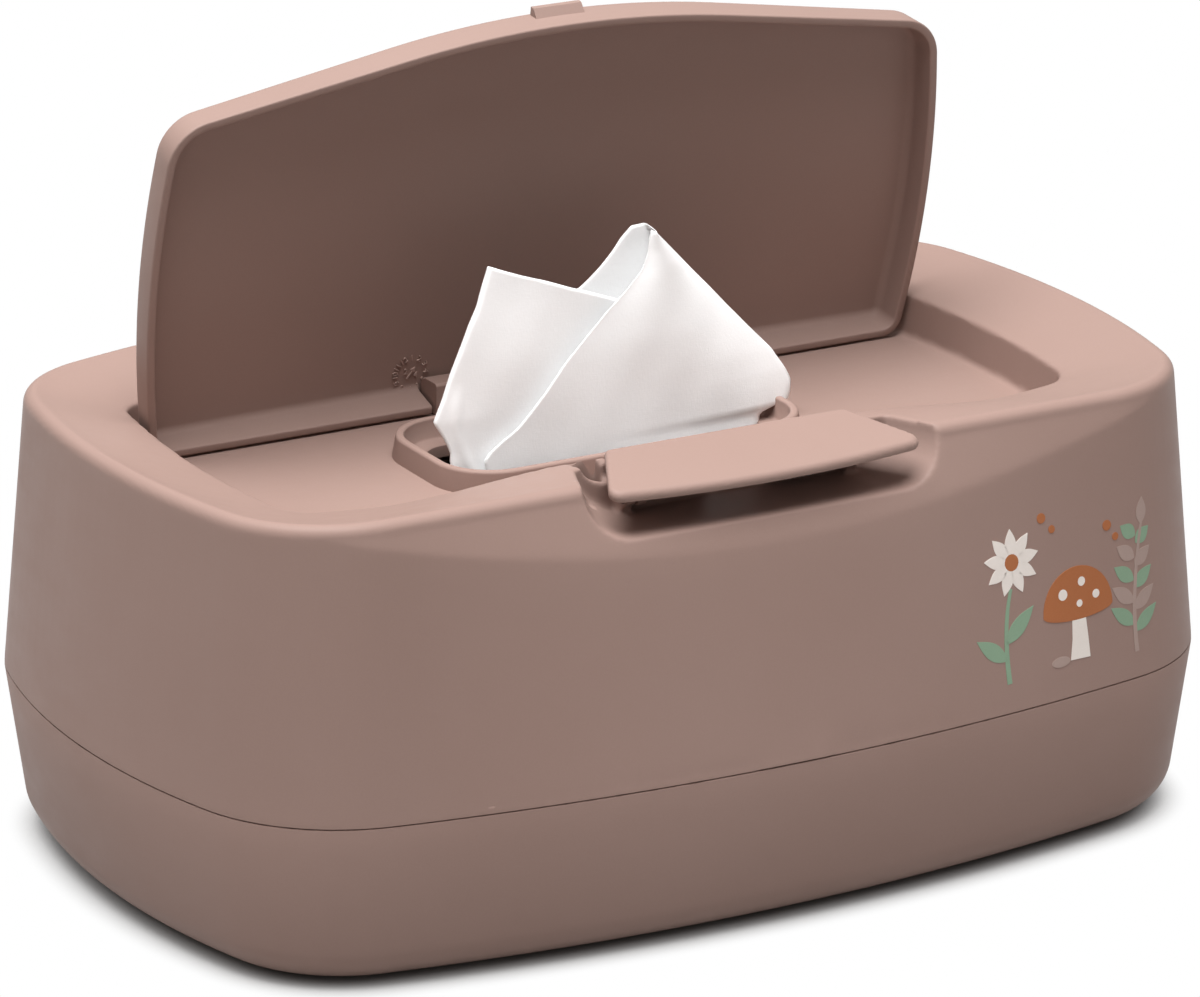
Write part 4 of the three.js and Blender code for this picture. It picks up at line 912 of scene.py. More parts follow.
def bracket_solid():
    """Hinge bracket with its window, pin hole and screw holes."""
    low = DECK_HEIGHT + BRACKET_SEAT_GAP
    front = PIVOT.y - BRACKET_FRONT
    top = PIVOT.z + BRACKET_RISE
    profile = [(front, low), (PIVOT.y + BRACKET_BACK, low)]
    for share in np.linspace(0, 1, 9):
        turn = share * math.pi / 2
        profile.append((PIVOT.y + BRACKET_BACK * math.cos(turn), PIVOT.z + BRACKET_RISE * math.sin(turn)))
    profile += [(front + BRACKET_BEVEL, top), (front, top - BRACKET_BEVEL)]
    body = bar_along_x(profile, -BRACKET_HALF, BRACKET_HALF)
    window = block(-WINDOW_HALF, WINDOW_HALF, PIVOT.y - EAR_RADIUS - EAR_GAP, RECESS_BACK,
                   low + BRACKET_FLOOR, RIM_FRONT_HEIGHT)
    holes = [rod_along_z(SCREW_HOLE_RADIUS, x, PIVOT.y, low - OVERRUN, low + SCREW_BITE)
             for x in BOSS_PLACES]
    pin_half = BRACKET_HALF - PIN_END_DEPTH
    pin_hole = rod_along_x(PIN_HOLE_RADIUS, -pin_half, pin_half, PIVOT.y, PIVOT.z)
    return cut(body, window, pin_hole, *holes)


# Lever button


def button_plate():
    """Sloping plate of the lever button, with a bowed lip and rounded edges."""
    arc_radius = (BUTTON_LIP_HALF**2 + BUTTON_LIP_BOW**2) / (2 * BUTTON_LIP_BOW)
    outline = rounded([
        (0.0, BUTTON_LIP - 2 * BUTTON_LIP_BOW, arc_radius * 0.9),
        (BUTTON_LIP_HALF, BUTTON_LIP, BUTTON_CORNER),
        (BUTTON_BACK_HALF, BUTTON_BACK, BUTTON_CORNER / 2),
        (-BUTTON_BACK_HALF, BUTTON_BACK, BUTTON_CORNER / 2),
        (-BUTTON_LIP_HALF, BUTTON_LIP, BUTTON_CORNER),
    ])
    slope = (BUTTON_BACK_HEIGHT - BUTTON_LIP_HEIGHT) / (BUTTON_BACK - BUTTON_LIP)
    middle = (BUTTON_BACK + BUTTON_LIP) / 2
    half = BUTTON_THICKNESS / 2
    rings = []
    for k in range(-ROUND_STEPS, ROUND_STEPS + 1):
        turn = math.pi / 2 * k / ROUND_STEPS
        inset = half * (1 - math.cos(turn)) * 0.8
        x = outline[:, 0] * (1 - inset / BUTTON_LIP_HALF)
        y = middle + (outline[:, 1] - middle) * (1 - 2 * inset / (BUTTON_BACK - BUTTON_LIP))
        z = BUTTON_BACK_HEIGHT - slope * (BUTTON_BACK - y) - half * (1 - math.sin(turn))
        rings.append(np.column_stack([x, y, z]))
    return loft(rings)


def button_cheeks():
    turns = math.pi * (1 + np.arange(25) / 24)
    profile = list(zip(BUTTON_PIVOT.y + BOSS_RADIUS * np.cos(turns), BUTTON_PIVOT.z + BOSS_RADIUS * np.sin(turns)))
    high = BUTTON_LIP_HEIGHT - BUTTON_THICKNESS / 2
    profile += [(BUTTON_PIVOT.y + BOSS_RADIUS, high), (BUTTON_PIVOT.y - BOSS_RADIUS, high)]
    return [bar_along_x(profile, x, x + CHEEK_THICKNESS) for x in (CHEEK_OFFSET, -CHEEK_OFFSET - CHEEK_THICKNESS)]


def button_solid():
    catch_top = LID_EDGE + lid_height(0, LID_FRONT) - CATCH_BELOW_TOP
    lift = (LID_REAR - LID_FRONT) * math.sin(math.radians(LID_CLOSED_RISE))
    back = LID_FRONT - CATCH_REACH - HOOK_GAP
    hook = block(-HOOK_WIDTH / 2, HOOK_WIDTH / 2, back - 2 * HOOK_THICKNESS, back, catch_top + lift + HOOK_GAP,
                 BUTTON_BACK_HEIGHT - BUTTON_THICKNESS / 2)
    button = join(button_plate(), *button_cheeks(), hook)
    hole = rod_along_x(BUTTON_PIN_HOLE, -POCKET_HALF, POCKET_HALF, BUTTON_PIVOT.y, BUTTON_PIVOT.z)
    return cut(button, hole)


# Feet: a domed rubber pad with grooves in its tread


def foot_pad(name, x, y):
    radius = FOOT_RADIUS
    profile = [(0.9, TREAD_GROOVE), (1.2, 0.0)]
    for ridge in TREAD_RIDGES:
        profile += [(ridge - 0.45, 0.0), (ridge - 0.3, TREAD_GROOVE)]
        profile += [(ridge + 0.1, TREAD_GROOVE), (ridge + 0.25, 0.0)]
    profile += [(radius - 0.35, 0.0), (radius - 0.1, 0.12), (radius, 0.4), (radius, FOOT_THICKNESS)]
    sides = FOOT_SIDES
    points, faces = [], []
    for r, z in profile:
        for k in range(sides):
            turn = 2 * math.pi * k / sides
            points.append((x + r * math.cos(turn), y + r * math.sin(turn), z))
    rows = len(profile)
    for i in range(rows - 1):
        for k in range(sides):
            j = (k + 1) % sides
            faces.append((i * sides + j, i * sides + k, (i + 1) * sides + k, (i + 1) * sides + j))
    faces.append(tuple(range(sides))[::-1])
    faces.append(tuple((rows - 1) * sides + k for k in range(sides)))
    return shade_by_angle(mesh_object(name, points, faces), 40)


# Standing wipe: one sheet folded in three, its right flap over its left one in front of the back panel

WIPE_BASE = 47.6
WIPE_WAIST = 84.8
WIPE_TOP = 130.0
WIPE_LEAN = 6.0
WIPE_LEAN_FROM = 50.0
WIPE_LEAN_TO = 132.6
WIPE_THICKNESS = 0.14
WIPE_FORWARD = 5.5
PLEAT_DEPTH = 0.5
VIEW_SLANT = 0.554
FLAP_STAND_OFF = 2.9
FLAP_OVERLAP = 12.0
FOLD_PUFF = 0.9
RIGHT_FLAP_PUFF = 1.8
BACK_PANEL_STEP = 1.5
RIPPLE_DEPTH = 0.35
FIBRE_RIPPLE = 0.03
WIPE_COLUMNS = 72
WIPE_ROWS = 110

# Edges of the standing wipe: height, left edge, crease where the right flap begins, right edge
WIPE_EDGES = np.array([
    (47.6, -27.0, -26.0, 28.0),
    (60.0, -29.0, -27.0, 30.0),
    (75.0, -34.0, -29.0, 34.0),
    (82.0, -37.0, -30.5, 36.5),
    (86.6, -37.9, -31.3, 37.5),
    (87.5, -37.8, -30.6, 39.5),
    (88.2, -37.7, -30.0, 44.6),
    (90.2, -38.4, -27.0, 45.5),
    (92.3, -39.5, -23.4, 45.8),
    (95.3, -41.3, -20.2, 45.1),
    (99.9, -38.7, -15.8, 42.0),
    (104.9, -36.4, -11.2, 37.0),
    (110.3, -33.5, -5.0, 31.8),
    (114.4, -31.4, -0.3, 28.0),
    (118.2, -29.1, 4.6, 24.3),
    (122.0, -27.6, 8.8, 20.7),
    (125.2, -26.2, 10.4, 17.6),
    (128.3, -24.9, 11.0, 14.6),
    (130.0, -24.2, 11.5, 13.2),
])
LEFT_FLAP_TOP = [(0.0, 126.4), (0.2, 123.4), (0.45, 119.8), (0.6, 118.0), (1.0, 113.2)]
BACK_PANEL_TOP = [(0.0, 126.2), (0.36, 118.8), (0.47, 117.9), (0.66, 123.6), (0.79, 127.4), (0.90, 129.8),
                  (1.0, 130.0)]


def wipe_top(panel, share):
    if panel == "right_flap":
        return WIPE_TOP - 0.9 * share
    profile = LEFT_FLAP_TOP if panel == "left_flap" else BACK_PANEL_TOP
    return np.interp(share, *zip(*profile))


def wipe_column(panel, share):
    """One column of the standing wipe, from the stack up to the wipe's edge, as points from its bottom to its top."""
    heights = np.linspace(WIPE_BASE, wipe_top(panel, share), WIPE_ROWS + 1)
    left, fold, right = (np.interp(heights, WIPE_EDGES[:, 0], WIPE_EDGES[:, k]) for k in (1, 2, 3))
    upright = np.clip((heights - 80.0) / 52.6, 0, 1)
    shift = WIPE_LEAN * (upright**1.2 - smoothstep(heights, WIPE_LEAN_FROM, WIPE_LEAN_TO) ** 2)
    lean = WIPE_LEAN * smoothstep(heights, WIPE_LEAN_FROM, WIPE_LEAN_TO) ** 2
    free = smoothstep(heights, WIPE_WAIST - 24.0, 110.0)
    puff = np.sin(np.pi * share) * free
    if panel == "right_flap":
        x = fold + (right - fold) * share
        y = -FLAP_STAND_OFF + FLAP_STAND_OFF * share**3 - RIGHT_FLAP_PUFF * puff - FOLD_PUFF * (1 - share) ** 6 * free
    elif panel == "left_flap":
        end = np.minimum(fold + FLAP_OVERLAP, right)
        x = left + (end - left) * share
        y = -0.5 - FOLD_PUFF * puff + 0.7 * (1 - share) ** 2
        pleat = np.exp(-(((x + 36.0 - 0.02 * (heights - 96.0) ** 2) / 1.3) ** 2))
        y -= PLEAT_DEPTH * (pleat * smoothstep(-heights, -103.0, -97.0))
    else:
        x = left + (right - left) * share
        y = BACK_PANEL_STEP + FOLD_PUFF * puff
        x += 1.6 * smoothstep(share, 0.9, 1.0) * smoothstep(-heights, -98.0, -92.0)
    squeeze = 0.8 + 0.2 * smoothstep(np.abs(heights - WIPE_WAIST), 2.0, 25.0)
    upper = np.clip((126.0 - heights) / 42.0, 0, 1) ** 1.3
    forward = WIPE_FORWARD * smoothstep(heights, 60.0, 84.0) * upper * (0.4 + 0.6 * smoothstep(x, -34.0, 40.0))
    x = x + VIEW_SLANT * (shift - forward)
    y = y * squeeze + COLLAR_Y + lean + shift - forward
    y += RIPPLE_DEPTH * free * np.sin(x * 0.11 + heights * 0.08 + 1.3) * np.sin(heights * 0.061 + x * 0.04)
    y += FIBRE_RIPPLE * np.sin(x * 0.45 - heights * 0.33)
    return np.column_stack([x, y, heights])


def standing_wipe():
    shares = np.linspace(0, 1, WIPE_COLUMNS)
    columns = [wipe_column("right_flap", s) for s in shares]
    columns += [wipe_column("back", s) for s in shares[::-1]]
    columns += [wipe_column("left_flap", s) for s in shares]
    columns = [columns[0]] + [rounded_turn(columns, i) for i in range(1, len(columns) - 1)] + [columns[-1]]
    points = np.vstack(columns)
    high = WIPE_ROWS + 1
    faces = []
    for c in range(len(columns) - 1):
        for r in range(WIPE_ROWS):
            a = c * high + r
            faces.append((a, a + high, a + high + 1, a + 1))
    wipe = mesh_object("folded_wipe", points, faces)
    solid = wipe.modifiers.new("thickness", "SOLIDIFY")
    solid.thickness = WIPE_THICKNESS * MM
    solid.offset = 0.0
    settle(wipe)
    wipe.data.shade_smooth()
    return wipe


def rounded_turn(columns, i):
    return 0.25 * columns[i - 1] + 0.5 * columns[i] + 0.25 * columns[i + 1]


# Stack: folded wipes repeated upwards, each shifted a little


def folded_wipe_profile():
    """One folded wipe of the stack: a flat slab, rounded where the cloth folds."""
    half_x, half_y, thick = STACK_HALF_WIDTH - STACK_FIT, STACK_HALF_DEPTH - STACK_FIT, STACK_LAYER
    rings = []
    for k in range(7):
        turn = math.pi * (k / 6 - 0.5)
        inset = thick / 2 * (1 - math.cos(turn))
        corners = rectangle(half_x - inset, half_y - inset, 0.0, STACK_CORNER - inset)
        rings.append(at_height(rounded(corners, 6), thick / 2 * math.sin(turn)))
    slab = loft(rings)
    slab.name = "folded_layer"
    return slab


def stack_tree(layer, cloth):
    """Geometry Nodes that repeat a folded wipe upwards with small random shifts."""
    tree = bpy.data.node_groups.new("wipes_stack_layers", "GeometryNodeTree")
    face = tree.interface
    face.new_socket("Geometry", in_out="INPUT", socket_type="NodeSocketGeometry")
    inputs = {}
    for label, kind, value in (("Layers", "NodeSocketInt", 30), ("Layer Height", "NodeSocketFloat", 0.0014),
                               ("Shift", "NodeSocketFloat", 0.0005), ("Seed", "NodeSocketInt", 7)):
        socket = face.new_socket(label, in_out="INPUT", socket_type=kind)
        socket.default_value = value
        inputs[label] = socket.identifier
    face.new_socket("Geometry", in_out="OUTPUT", socket_type="NodeSocketGeometry")
    nodes, links = tree.nodes, tree.links
    entry = nodes.new("NodeGroupInput")
    leave = nodes.new("NodeGroupOutput")
    line = nodes.new("GeometryNodeMeshLine")
    rise = nodes.new("ShaderNodeCombineXYZ")
    on_line = nodes.new("GeometryNodeInstanceOnPoints")
    info = nodes.new("GeometryNodeObjectInfo")
    shift = nodes.new("FunctionNodeRandomValue")
    place = nodes.new("GeometryNodeTranslateInstances")
    low = nodes.new("ShaderNodeMath")
    to_low = nodes.new("ShaderNodeCombineXYZ")
    to_high = nodes.new("ShaderNodeCombineXYZ")
    real = nodes.new("GeometryNodeRealizeInstances")
    paint = nodes.new("GeometryNodeSetMaterial")
    shift.data_type = "FLOAT_VECTOR"
    low.operation = "MULTIPLY"
    low.inputs[1].default_value = -1.0
    info.inputs["Object"].default_value = layer
    paint.inputs["Material"].default_value = cloth
    links.new(entry.outputs["Layers"], line.inputs["Count"])
    links.new(entry.outputs["Layer Height"], rise.inputs["Z"])
    links.new(rise.outputs["Vector"], line.inputs["Offset"])
    links.new(line.outputs["Mesh"], on_line.inputs["Points"])
    links.new(info.outputs["Geometry"], on_line.inputs["Instance"])
    links.new(entry.outputs["Shift"], low.inputs[0])
    for axis in ("X", "Y"):
        links.new(low.outputs[0], to_low.inputs[axis])
        links.new(entry.outputs["Shift"], to_high.inputs[axis])
    links.new(to_low.outputs["Vector"], shift.inputs["Min"])
    links.new(to_high.outputs["Vector"], shift.inputs["Max"])
    links.new(entry.outputs["Seed"], shift.inputs["Seed"])
    links.new(on_line.outputs["Instances"], place.inputs["Instances"])
    links.new(shift.outputs["Value"], place.inputs["Translation"])
    links.new(place.outputs["Instances"], real.inputs["Geometry"])
    links.new(real.outputs["Geometry"], paint.inputs["Geometry"])
    links.new(paint.outputs["Geometry"], leave.inputs[0])
    return tree, inputs


def wipes_stack(cloth):
    layer = folded_wipe_profile()
    tree, inputs = stack_tree(layer, cloth)
    stack = mesh_object("folded_wipes", [(0, 0, 0)], [])
    grow = stack.modifiers.new("layers", "NODES")
    grow.node_group = tree
    grow[inputs["Layers"]] = STACK_LAYERS
    grow[inputs["Layer Height"]] = STACK_LAYER * MM
    settle(stack)
    bpy.data.objects.remove(layer)
    co = np.empty(3 * len(stack.data.vertices))
    stack.data.vertices.foreach_get("co", co)
    co = co.reshape(-1, 3) / MM
    co[:, 2] += STACK_BASE + STACK_LAYER / 2
    across = np.clip(1 - (np.abs(co[:, 0]) / STACK_HALF_WIDTH) ** 6, 0, 1)
    edge = across * np.clip(1 - (np.abs(co[:, 1]) / STACK_HALF_DEPTH) ** 4, 0, 1)
    share = (co[:, 2] - STACK_BASE) / (STACK_LAYER * STACK_LAYERS)
    co[:, 2] += share * (STACK_SWELL * edge - 0.2) + 0.25 * share * np.sin(co[:, 0] * 0.07) * np.sin(co[:, 1] * 0.09)
    stack.data.vertices.foreach_set("co", (co * MM).ravel())
    return shade_by_angle(stack, 50)


# Print on the front wall: thin films that follow the wall


def wall_table():
    """Rings of the outer wall, to find where the print lies."""
    return np.array([wall_ring(0, row) for row in WALL_ROWS])


def wall_point(table, x, z, out):
    """Point on the front wall above x and z, stood off by out."""
    half = len(table[0]) // 4
    ys = []
    for row in table:
        front = row[:2 * ARC_STEPS + half // 2]
        ys.append((np.interp(x, front[:, 0], front[:, 1]), np.interp(x, front[:, 0], front[:, 2])))
    ys = np.array(ys)
    y = np.interp(z, ys[:, 1], ys[:, 0])
    return np.array([x, y - out, z])


def film_piece(name, shapes, table, out, thick):
    """Closed thin film of 2-D shapes, given as lists of x and z, laid on the front wall."""
    mesh = bmesh.new()
    for shape in shapes:
        corners = [mesh.verts.new((x, 0, z)) for x, z in shape]
        mesh.faces.new(corners)
    bounds = [p for shape in shapes for p in shape]
    for axis, low, high in ((0, min(p[0] for p in bounds), max(p[0] for p in bounds)),
                            (2, min(p[1] for p in bounds), max(p[1] for p in bounds))):
        normal = Vector((1, 0, 0)) if axis == 0 else Vector((0, 0, 1))
        for place in np.arange(math.floor(low), math.ceil(high), FILM_STEP):
            geometry = mesh.verts[:] + mesh.edges[:] + mesh.faces[:]
            bmesh.ops.bisect_plane(mesh, geom=geometry, plane_co=normal * float(place), plane_no=normal)
    bmesh.ops.triangulate(mesh, faces=mesh.faces[:])
    bmesh.ops.recalc_face_normals(mesh, faces=mesh.faces[:])
    for face in mesh.faces:
        if face.normal.y > 0:
            face.normal_flip()
    made = bmesh.ops.extrude_face_region(mesh, geom=mesh.faces[:])
    back = {v for v in made["geom"] if isinstance(v, bmesh.types.BMVert)}
    for vert in mesh.verts:
        place = wall_point(table, vert.co.x, vert.co.z, out - thick if vert in back else out)
        vert.co = Vector(place) * MM
    bmesh.ops.recalc_face_normals(mesh, faces=mesh.faces[:])
    data = bpy.data.meshes.new(name)
    mesh.to_mesh(data)
    mesh.free()
    piece = bpy.data.objects.new(name, data)
    bpy.context.collection.objects.link(piece)
    return piece


def blob(x, z, wide, high, count=36):
    """Oval outline about x, z."""
    angles = [2 * math.pi * k / count for k in range(count)]
    return [(x + wide / 2 * math.cos(angle), z + high / 2 * math.sin(angle)) for angle in angles]


def leaf(x, z, long, wide, turn):
    """Leaf outline from its stalk at x, z, pointing along turn (0 is up)."""
    points = []
    for k in range(13):
        share = k / 12
        points.append((wide / 2 * math.sin(math.pi * share**0.85), long * share))
    points += [(-a, b) for a, b in points[-2:0:-1]]
    c, s = math.cos(turn), math.sin(turn)
    return [(x + a * c - b * s, z + a * s + b * c) for a, b in points]


def stalk(points, wide):
    """Tapering line through the points."""
    line = np.array(points, float)
    ahead = np.gradient(line, axis=0)
    side = np.column_stack([-ahead[:, 1], ahead[:, 0]])
    side /= np.linalg.norm(side, axis=1)[:, None]
    half = wide / 2 * np.linspace(1, 0.6, len(line))[:, None]
    return [tuple(p) for p in line - side * half] + [tuple(p) for p in (line + side * half)[::-1]]


def curve_points(start, bend, end, count=14):
    shares = np.linspace(0, 1, count)[:, None]
    a, b, c = (np.array(p, float) for p in (start, bend, end))
    return (1 - shares) ** 2 * a + 2 * shares * (1 - shares) * b + shares**2 * c


def front_print(table):
    """Flower, toadstool, leafy sprig and berries, as films in four inks."""
    cream, green, taupe, rust = [], [], [], []
    # Daisy, left
    for k in range(9):
        turn = 2 * math.pi * k / 9
        cream.append(leaf(57.0 - 1.2 * math.sin(turn), 69.5 + 1.2 * math.cos(turn), 6.0, 2.9, turn))
    rust.append(blob(57.0, 69.5, 3.6, 3.6))
    green.append(stalk(curve_points((54.5, 44.0), (53.5, 56.0), (56.4, 64.0)), 1.3))
    green.append(leaf(54.3, 49.0, 9.5, 3.6, 0.95))
    green.append(leaf(54.2, 52.5, 10.5, 3.6, -0.85))
    # Toadstool, middle
    cream.append(stalk([(74.0, 45.5), (74.2, 50.0), (74.0, 57.5)], 5.4))
    cap = [(74 + 9.5 * math.cos(a), 56.0 + (9.5 * math.sin(a) if math.sin(a) > 0 else 2.0 * math.sin(a)))
           for a in np.linspace(0, 2 * math.pi, 40, endpoint=False)]
    rust.append(cap)
    dots = ((70.0, 60.0, 2.4), (75.2, 62.0, 2.0), (79.0, 58.6, 1.9), (74.4, 57.4, 1.6))
    taupe.append(blob(68.6, 45.8, 5.0, 2.2))
    # Leafy sprig, right
    taupe.append(stalk(curve_points((90.0, 43.5), (88.5, 56.0), (92.5, 72.0)), 1.2))
    for k in range(5):
        z = 48.0 + 4.8 * k
        x = 89.6 + 0.10 * (k - 1) ** 2
        size = 8.2 - 0.8 * k
        side = taupe if k % 2 else green
        side.append(leaf(x, z, size, 3.3, -0.95))
        side.append(leaf(x, z + 1.6, size, 3.3, 0.95))
    taupe.append(leaf(92.2, 71.0, 6.0, 3.0, -0.1))
    # Berries
    for x, z, size in ((65.4, 77.4, 2.2), (68.0, 74.6, 1.7), (82.8, 72.6, 2.3), (85.0, 69.8, 1.7)):
        rust.append(blob(x, z, size, size, count=24))
    return (
        film_piece("print_green", green, table, 0.07, 0.12),
        film_piece("print_taupe", taupe, table, 0.08, 0.13),
        film_piece("print_cream", cream, table, 0.09, 0.14),
        film_piece("print_rust", rust, table, 0.10, 0.15),
        film_piece("print_cream_dots", [blob(x, z, d, d, count=24) for x, z, d in dots], table, 0.13, 0.1),
    )


# Dial on the inner face of the lid


def flat_text(body, size, depth):
    curve = bpy.data.curves.new("number", "FONT")
    curve.body = body
    curve.size = size * MM
    curve.extrude = depth * MM / 2
    curve.align_x = "CENTER"
    curve.align_y = "CENTER"
    curve.resolution_u = 3
    piece = bpy.data.objects.new("number", curve)
    bpy.context.collection.objects.link(piece)
    depsgraph = bpy.context.evaluated_depsgraph_get()
    made = bpy.data.meshes.new_from_object(piece.evaluated_get(depsgraph))
    bpy.data.objects.remove(piece)
    return made


def merged(name, meshes):
    whole = bmesh.new()
    for mesh in meshes:
        whole.from_mesh(mesh)
        bpy.data.meshes.remove(mesh)
    data = bpy.data.meshes.new(name)
    whole.to_mesh(data)
    whole.free()
    piece = bpy.data.objects.new(name, data)
    bpy.context.collection.objects.link(piece)
    return piece


def taken(piece):
    data = piece.data.copy()
    bpy.data.objects.remove(piece)
    return data


def lid_dial():
    """Plain dial: twelve numbers in a circle, with an arrow between two digits in the middle."""
    parts = []
    for k in range(DIAL_NUMBERS):
        turn = -2 * math.pi * k / DIAL_NUMBERS
        number = flat_text(str(k + 1), DIAL_LETTER, DIAL_DEPTH)
        place = Matrix.Rotation(turn, 4, "Z") @ Matrix.Translation((0, DIAL_RADIUS * MM, 0))
        number.transform(place)
        parts.append(number)
    for digit, x, y in (("2", -1.25, 0.55), ("4", 1.25, -0.55)):
        number = flat_text(digit, DIAL_LETTER, DIAL_DEPTH)
        number.transform(Matrix.Translation((x * MM, y * MM, 0)))
        parts.append(number)
    shaft = taken(block(-0.14, 0.14, -1.5, 1.0, -DIAL_DEPTH / 2, DIAL_DEPTH / 2))
    head = np.array([(-0.55, 0.7), (0.55, 0.7), (0.0, 1.7)])
    tip = taken(loft([at_height(head, -DIAL_DEPTH / 2), at_height(head, DIAL_DEPTH / 2)]))
    for arrow in (shaft, tip):
        arrow.transform(Matrix.Rotation(DIAL_ARROW_TURN, 4, "Z"))
        parts.append(arrow)
    dial = merged("lid_dial", parts)
    below = LID_EDGE + float(lid_height(DIAL_X, DIAL_Y)) - LID_PLATE
    flip = Matrix.Rotation(math.pi, 4, "X")
    slope = math.atan2(lid_height(DIAL_X + 1, DIAL_Y) - lid_height(DIAL_X - 1, DIAL_Y), 2)
    tilt = Matrix.Rotation(-slope, 4, "Y")
    dial.data.transform(Matrix.Translation(Vector((DIAL_X, DIAL_Y, below)) * MM) @ tilt @ flip)
    return open_lid(dial)


# Springs: foot, curls and leg in one wire

LID_SPRING = dict(radius=1.9, curls=9, pitch=1.3, leg=9.0, foot=4.2, lean=math.radians(OPEN_LEAN))
LID_SPRING_WIRE = 0.35
BUTTON_SPRING = dict(radius=2.3, curls=7, pitch=1.1, leg=4.6, foot=3.3, lean=0.0)
BUTTON_SPRING_WIRE = 0.3
BUTTON_SPRING_X = (HOOK_WIDTH / 2 + CHEEK_OFFSET) / 2
POINTS_PER_CURL = 26


def spring_path(radius, curls, pitch, leg, foot, lean, place):
    sweep = 2 * math.pi * curls + lean
    coil = math.hypot(sweep * radius, pitch * curls)
    points = []
    total = foot + coil + leg
    for along in np.linspace(0, total, curls * POINTS_PER_CURL):
        share = min(max((along - foot) / coil, 0), 1)
        beyond = along - foot if along < foot else max(along - foot - coil, 0)
        angle = sweep * share
        points.append((
            (share - 0.5) * pitch * curls,
            radius * math.cos(angle) - beyond * math.sin(angle),
            radius * math.sin(angle) + beyond * math.cos(angle),
        ))
    return np.array(points) + np.array(place)


def wire(name, path, radius, sides=10):
    ahead = np.gradient(path, axis=0)
    ahead /= np.linalg.norm(ahead, axis=1)[:, None]
    side = np.array([1.0, 0, 0])
    points, faces = [], []
    for i, place in enumerate(path):
        side = side - ahead[i] * side.dot(ahead[i])
        side /= np.linalg.norm(side)
        other = np.cross(ahead[i], side)
        for k in range(sides):
            turn = 2 * math.pi * k / sides
            points.append(place + radius * (math.cos(turn) * side + math.sin(turn) * other))
    for i in range(len(path) - 1):
        for k in range(sides):
            j = (k + 1) % sides
            low = i * sides
            faces.append((low + k, low + j, low + sides + j, low + sides + k))
    faces.append(tuple(range(sides))[::-1])
    faces.append(tuple((len(path) - 1) * sides + k for k in range(sides)))
    piece = mesh_object(name, points, faces)
    return shade_by_angle(piece, 50)


# Finishes


def linear(red, green, blue):
    return tuple(v / 12.92 if v <= 0.04045 else ((v + 0.055) / 1.055) ** 2.4 for v in (red, green, blue)) + (1.0,)


def effect_group(name, inputs, outputs):
    group = bpy.data.node_groups.new(name, "ShaderNodeTree")
    for label, kind, value in inputs:
        socket = group.interface.new_socket(label, in_out="INPUT", socket_type=kind)
        if value is not None:
            socket.default_value = value
    for label in outputs:
        group.interface.new_socket(label, in_out="OUTPUT", socket_type="NodeSocketFloat")
    return group, group.nodes.new("NodeGroupInput"), group.nodes.new("NodeGroupOutput")


def scaled(group, vector, factors):
    node = group.nodes.new("ShaderNodeVectorMath")
    node.operation = "MULTIPLY"
    node.inputs[1].default_value = factors
    group.links.new(vector, node.inputs[0])
    return node.outputs["Vector"]


def noise(group, vector, scale, detail, rough=0.5):
    node = group.nodes.new("ShaderNodeTexNoise")
    node.inputs["Scale"].default_value = scale
    node.inputs["Detail"].default_value = detail
    node.inputs["Roughness"].default_value = rough
    group.links.new(vector, node.inputs["Vector"])
    return node.outputs["Fac"]


def spread(group, value, low, high):
    """Stretch a noise's middle range to low and high."""
    node = group.nodes.new("ShaderNodeMapRange")
    node.inputs["From Min"].default_value = NOISE_LOW
    node.inputs["From Max"].default_value = NOISE_HIGH
    node.inputs["To Min"].default_value = low
    node.inputs["To Max"].default_value = high
    group.links.new(value, node.inputs["Value"])
    return node.outputs["Result"]


def arithmetic(group, operation, one, other):
    node = group.nodes.new("ShaderNodeMath")
    node.operation = operation
    for i, value in enumerate((one, other)):
        if isinstance(value, (int, float)):
            node.inputs[i].default_value = value
        else:
            group.links.new(value, node.inputs[i])
    return node.outputs[0]


def moulded_grain_group():
    """Fine etched grain of a mould, with slow changes of gloss and shade where the plastic flowed."""
    group, entry, leave = effect_group(
        "moulded_grain",
        [("Vector", "NodeSocketVector", None), ("Roughness", "NodeSocketFloat", 0.45),
         ("Gloss Change", "NodeSocketFloat", 0.05)],
        ["Shade", "Roughness", "Height"],
    )
    vector = entry.outputs["Vector"]
    fine = noise(group, vector, 2600.0, 2.0, 0.6)
    coarse = noise(group, vector, 900.0, 1.0)
    flow = noise(group, vector, 22.0, 3.0)
    rubbed = noise(group, scaled(group, vector, (1.0, 1.0, 2.4)), 60.0, 4.0, 0.6)
    shade = arithmetic(group, "ADD", spread(group, flow, 0.0, 0.6), spread(group, fine, 0.0, 0.4))
    change = arithmetic(group, "MULTIPLY", spread(group, rubbed, -1.0, 1.0), entry.outputs["Gloss Change"])
    rough = arithmetic(group, "ADD", entry.outputs["Roughness"], change)
    height = arithmetic(group, "ADD", fine, arithmetic(group, "MULTIPLY", coarse, 0.8))
    group.links.new(shade, leave.inputs["Shade"])
    group.links.new(rough, leave.inputs["Roughness"])
    group.links.new(height, leave.inputs["Height"])
    return group


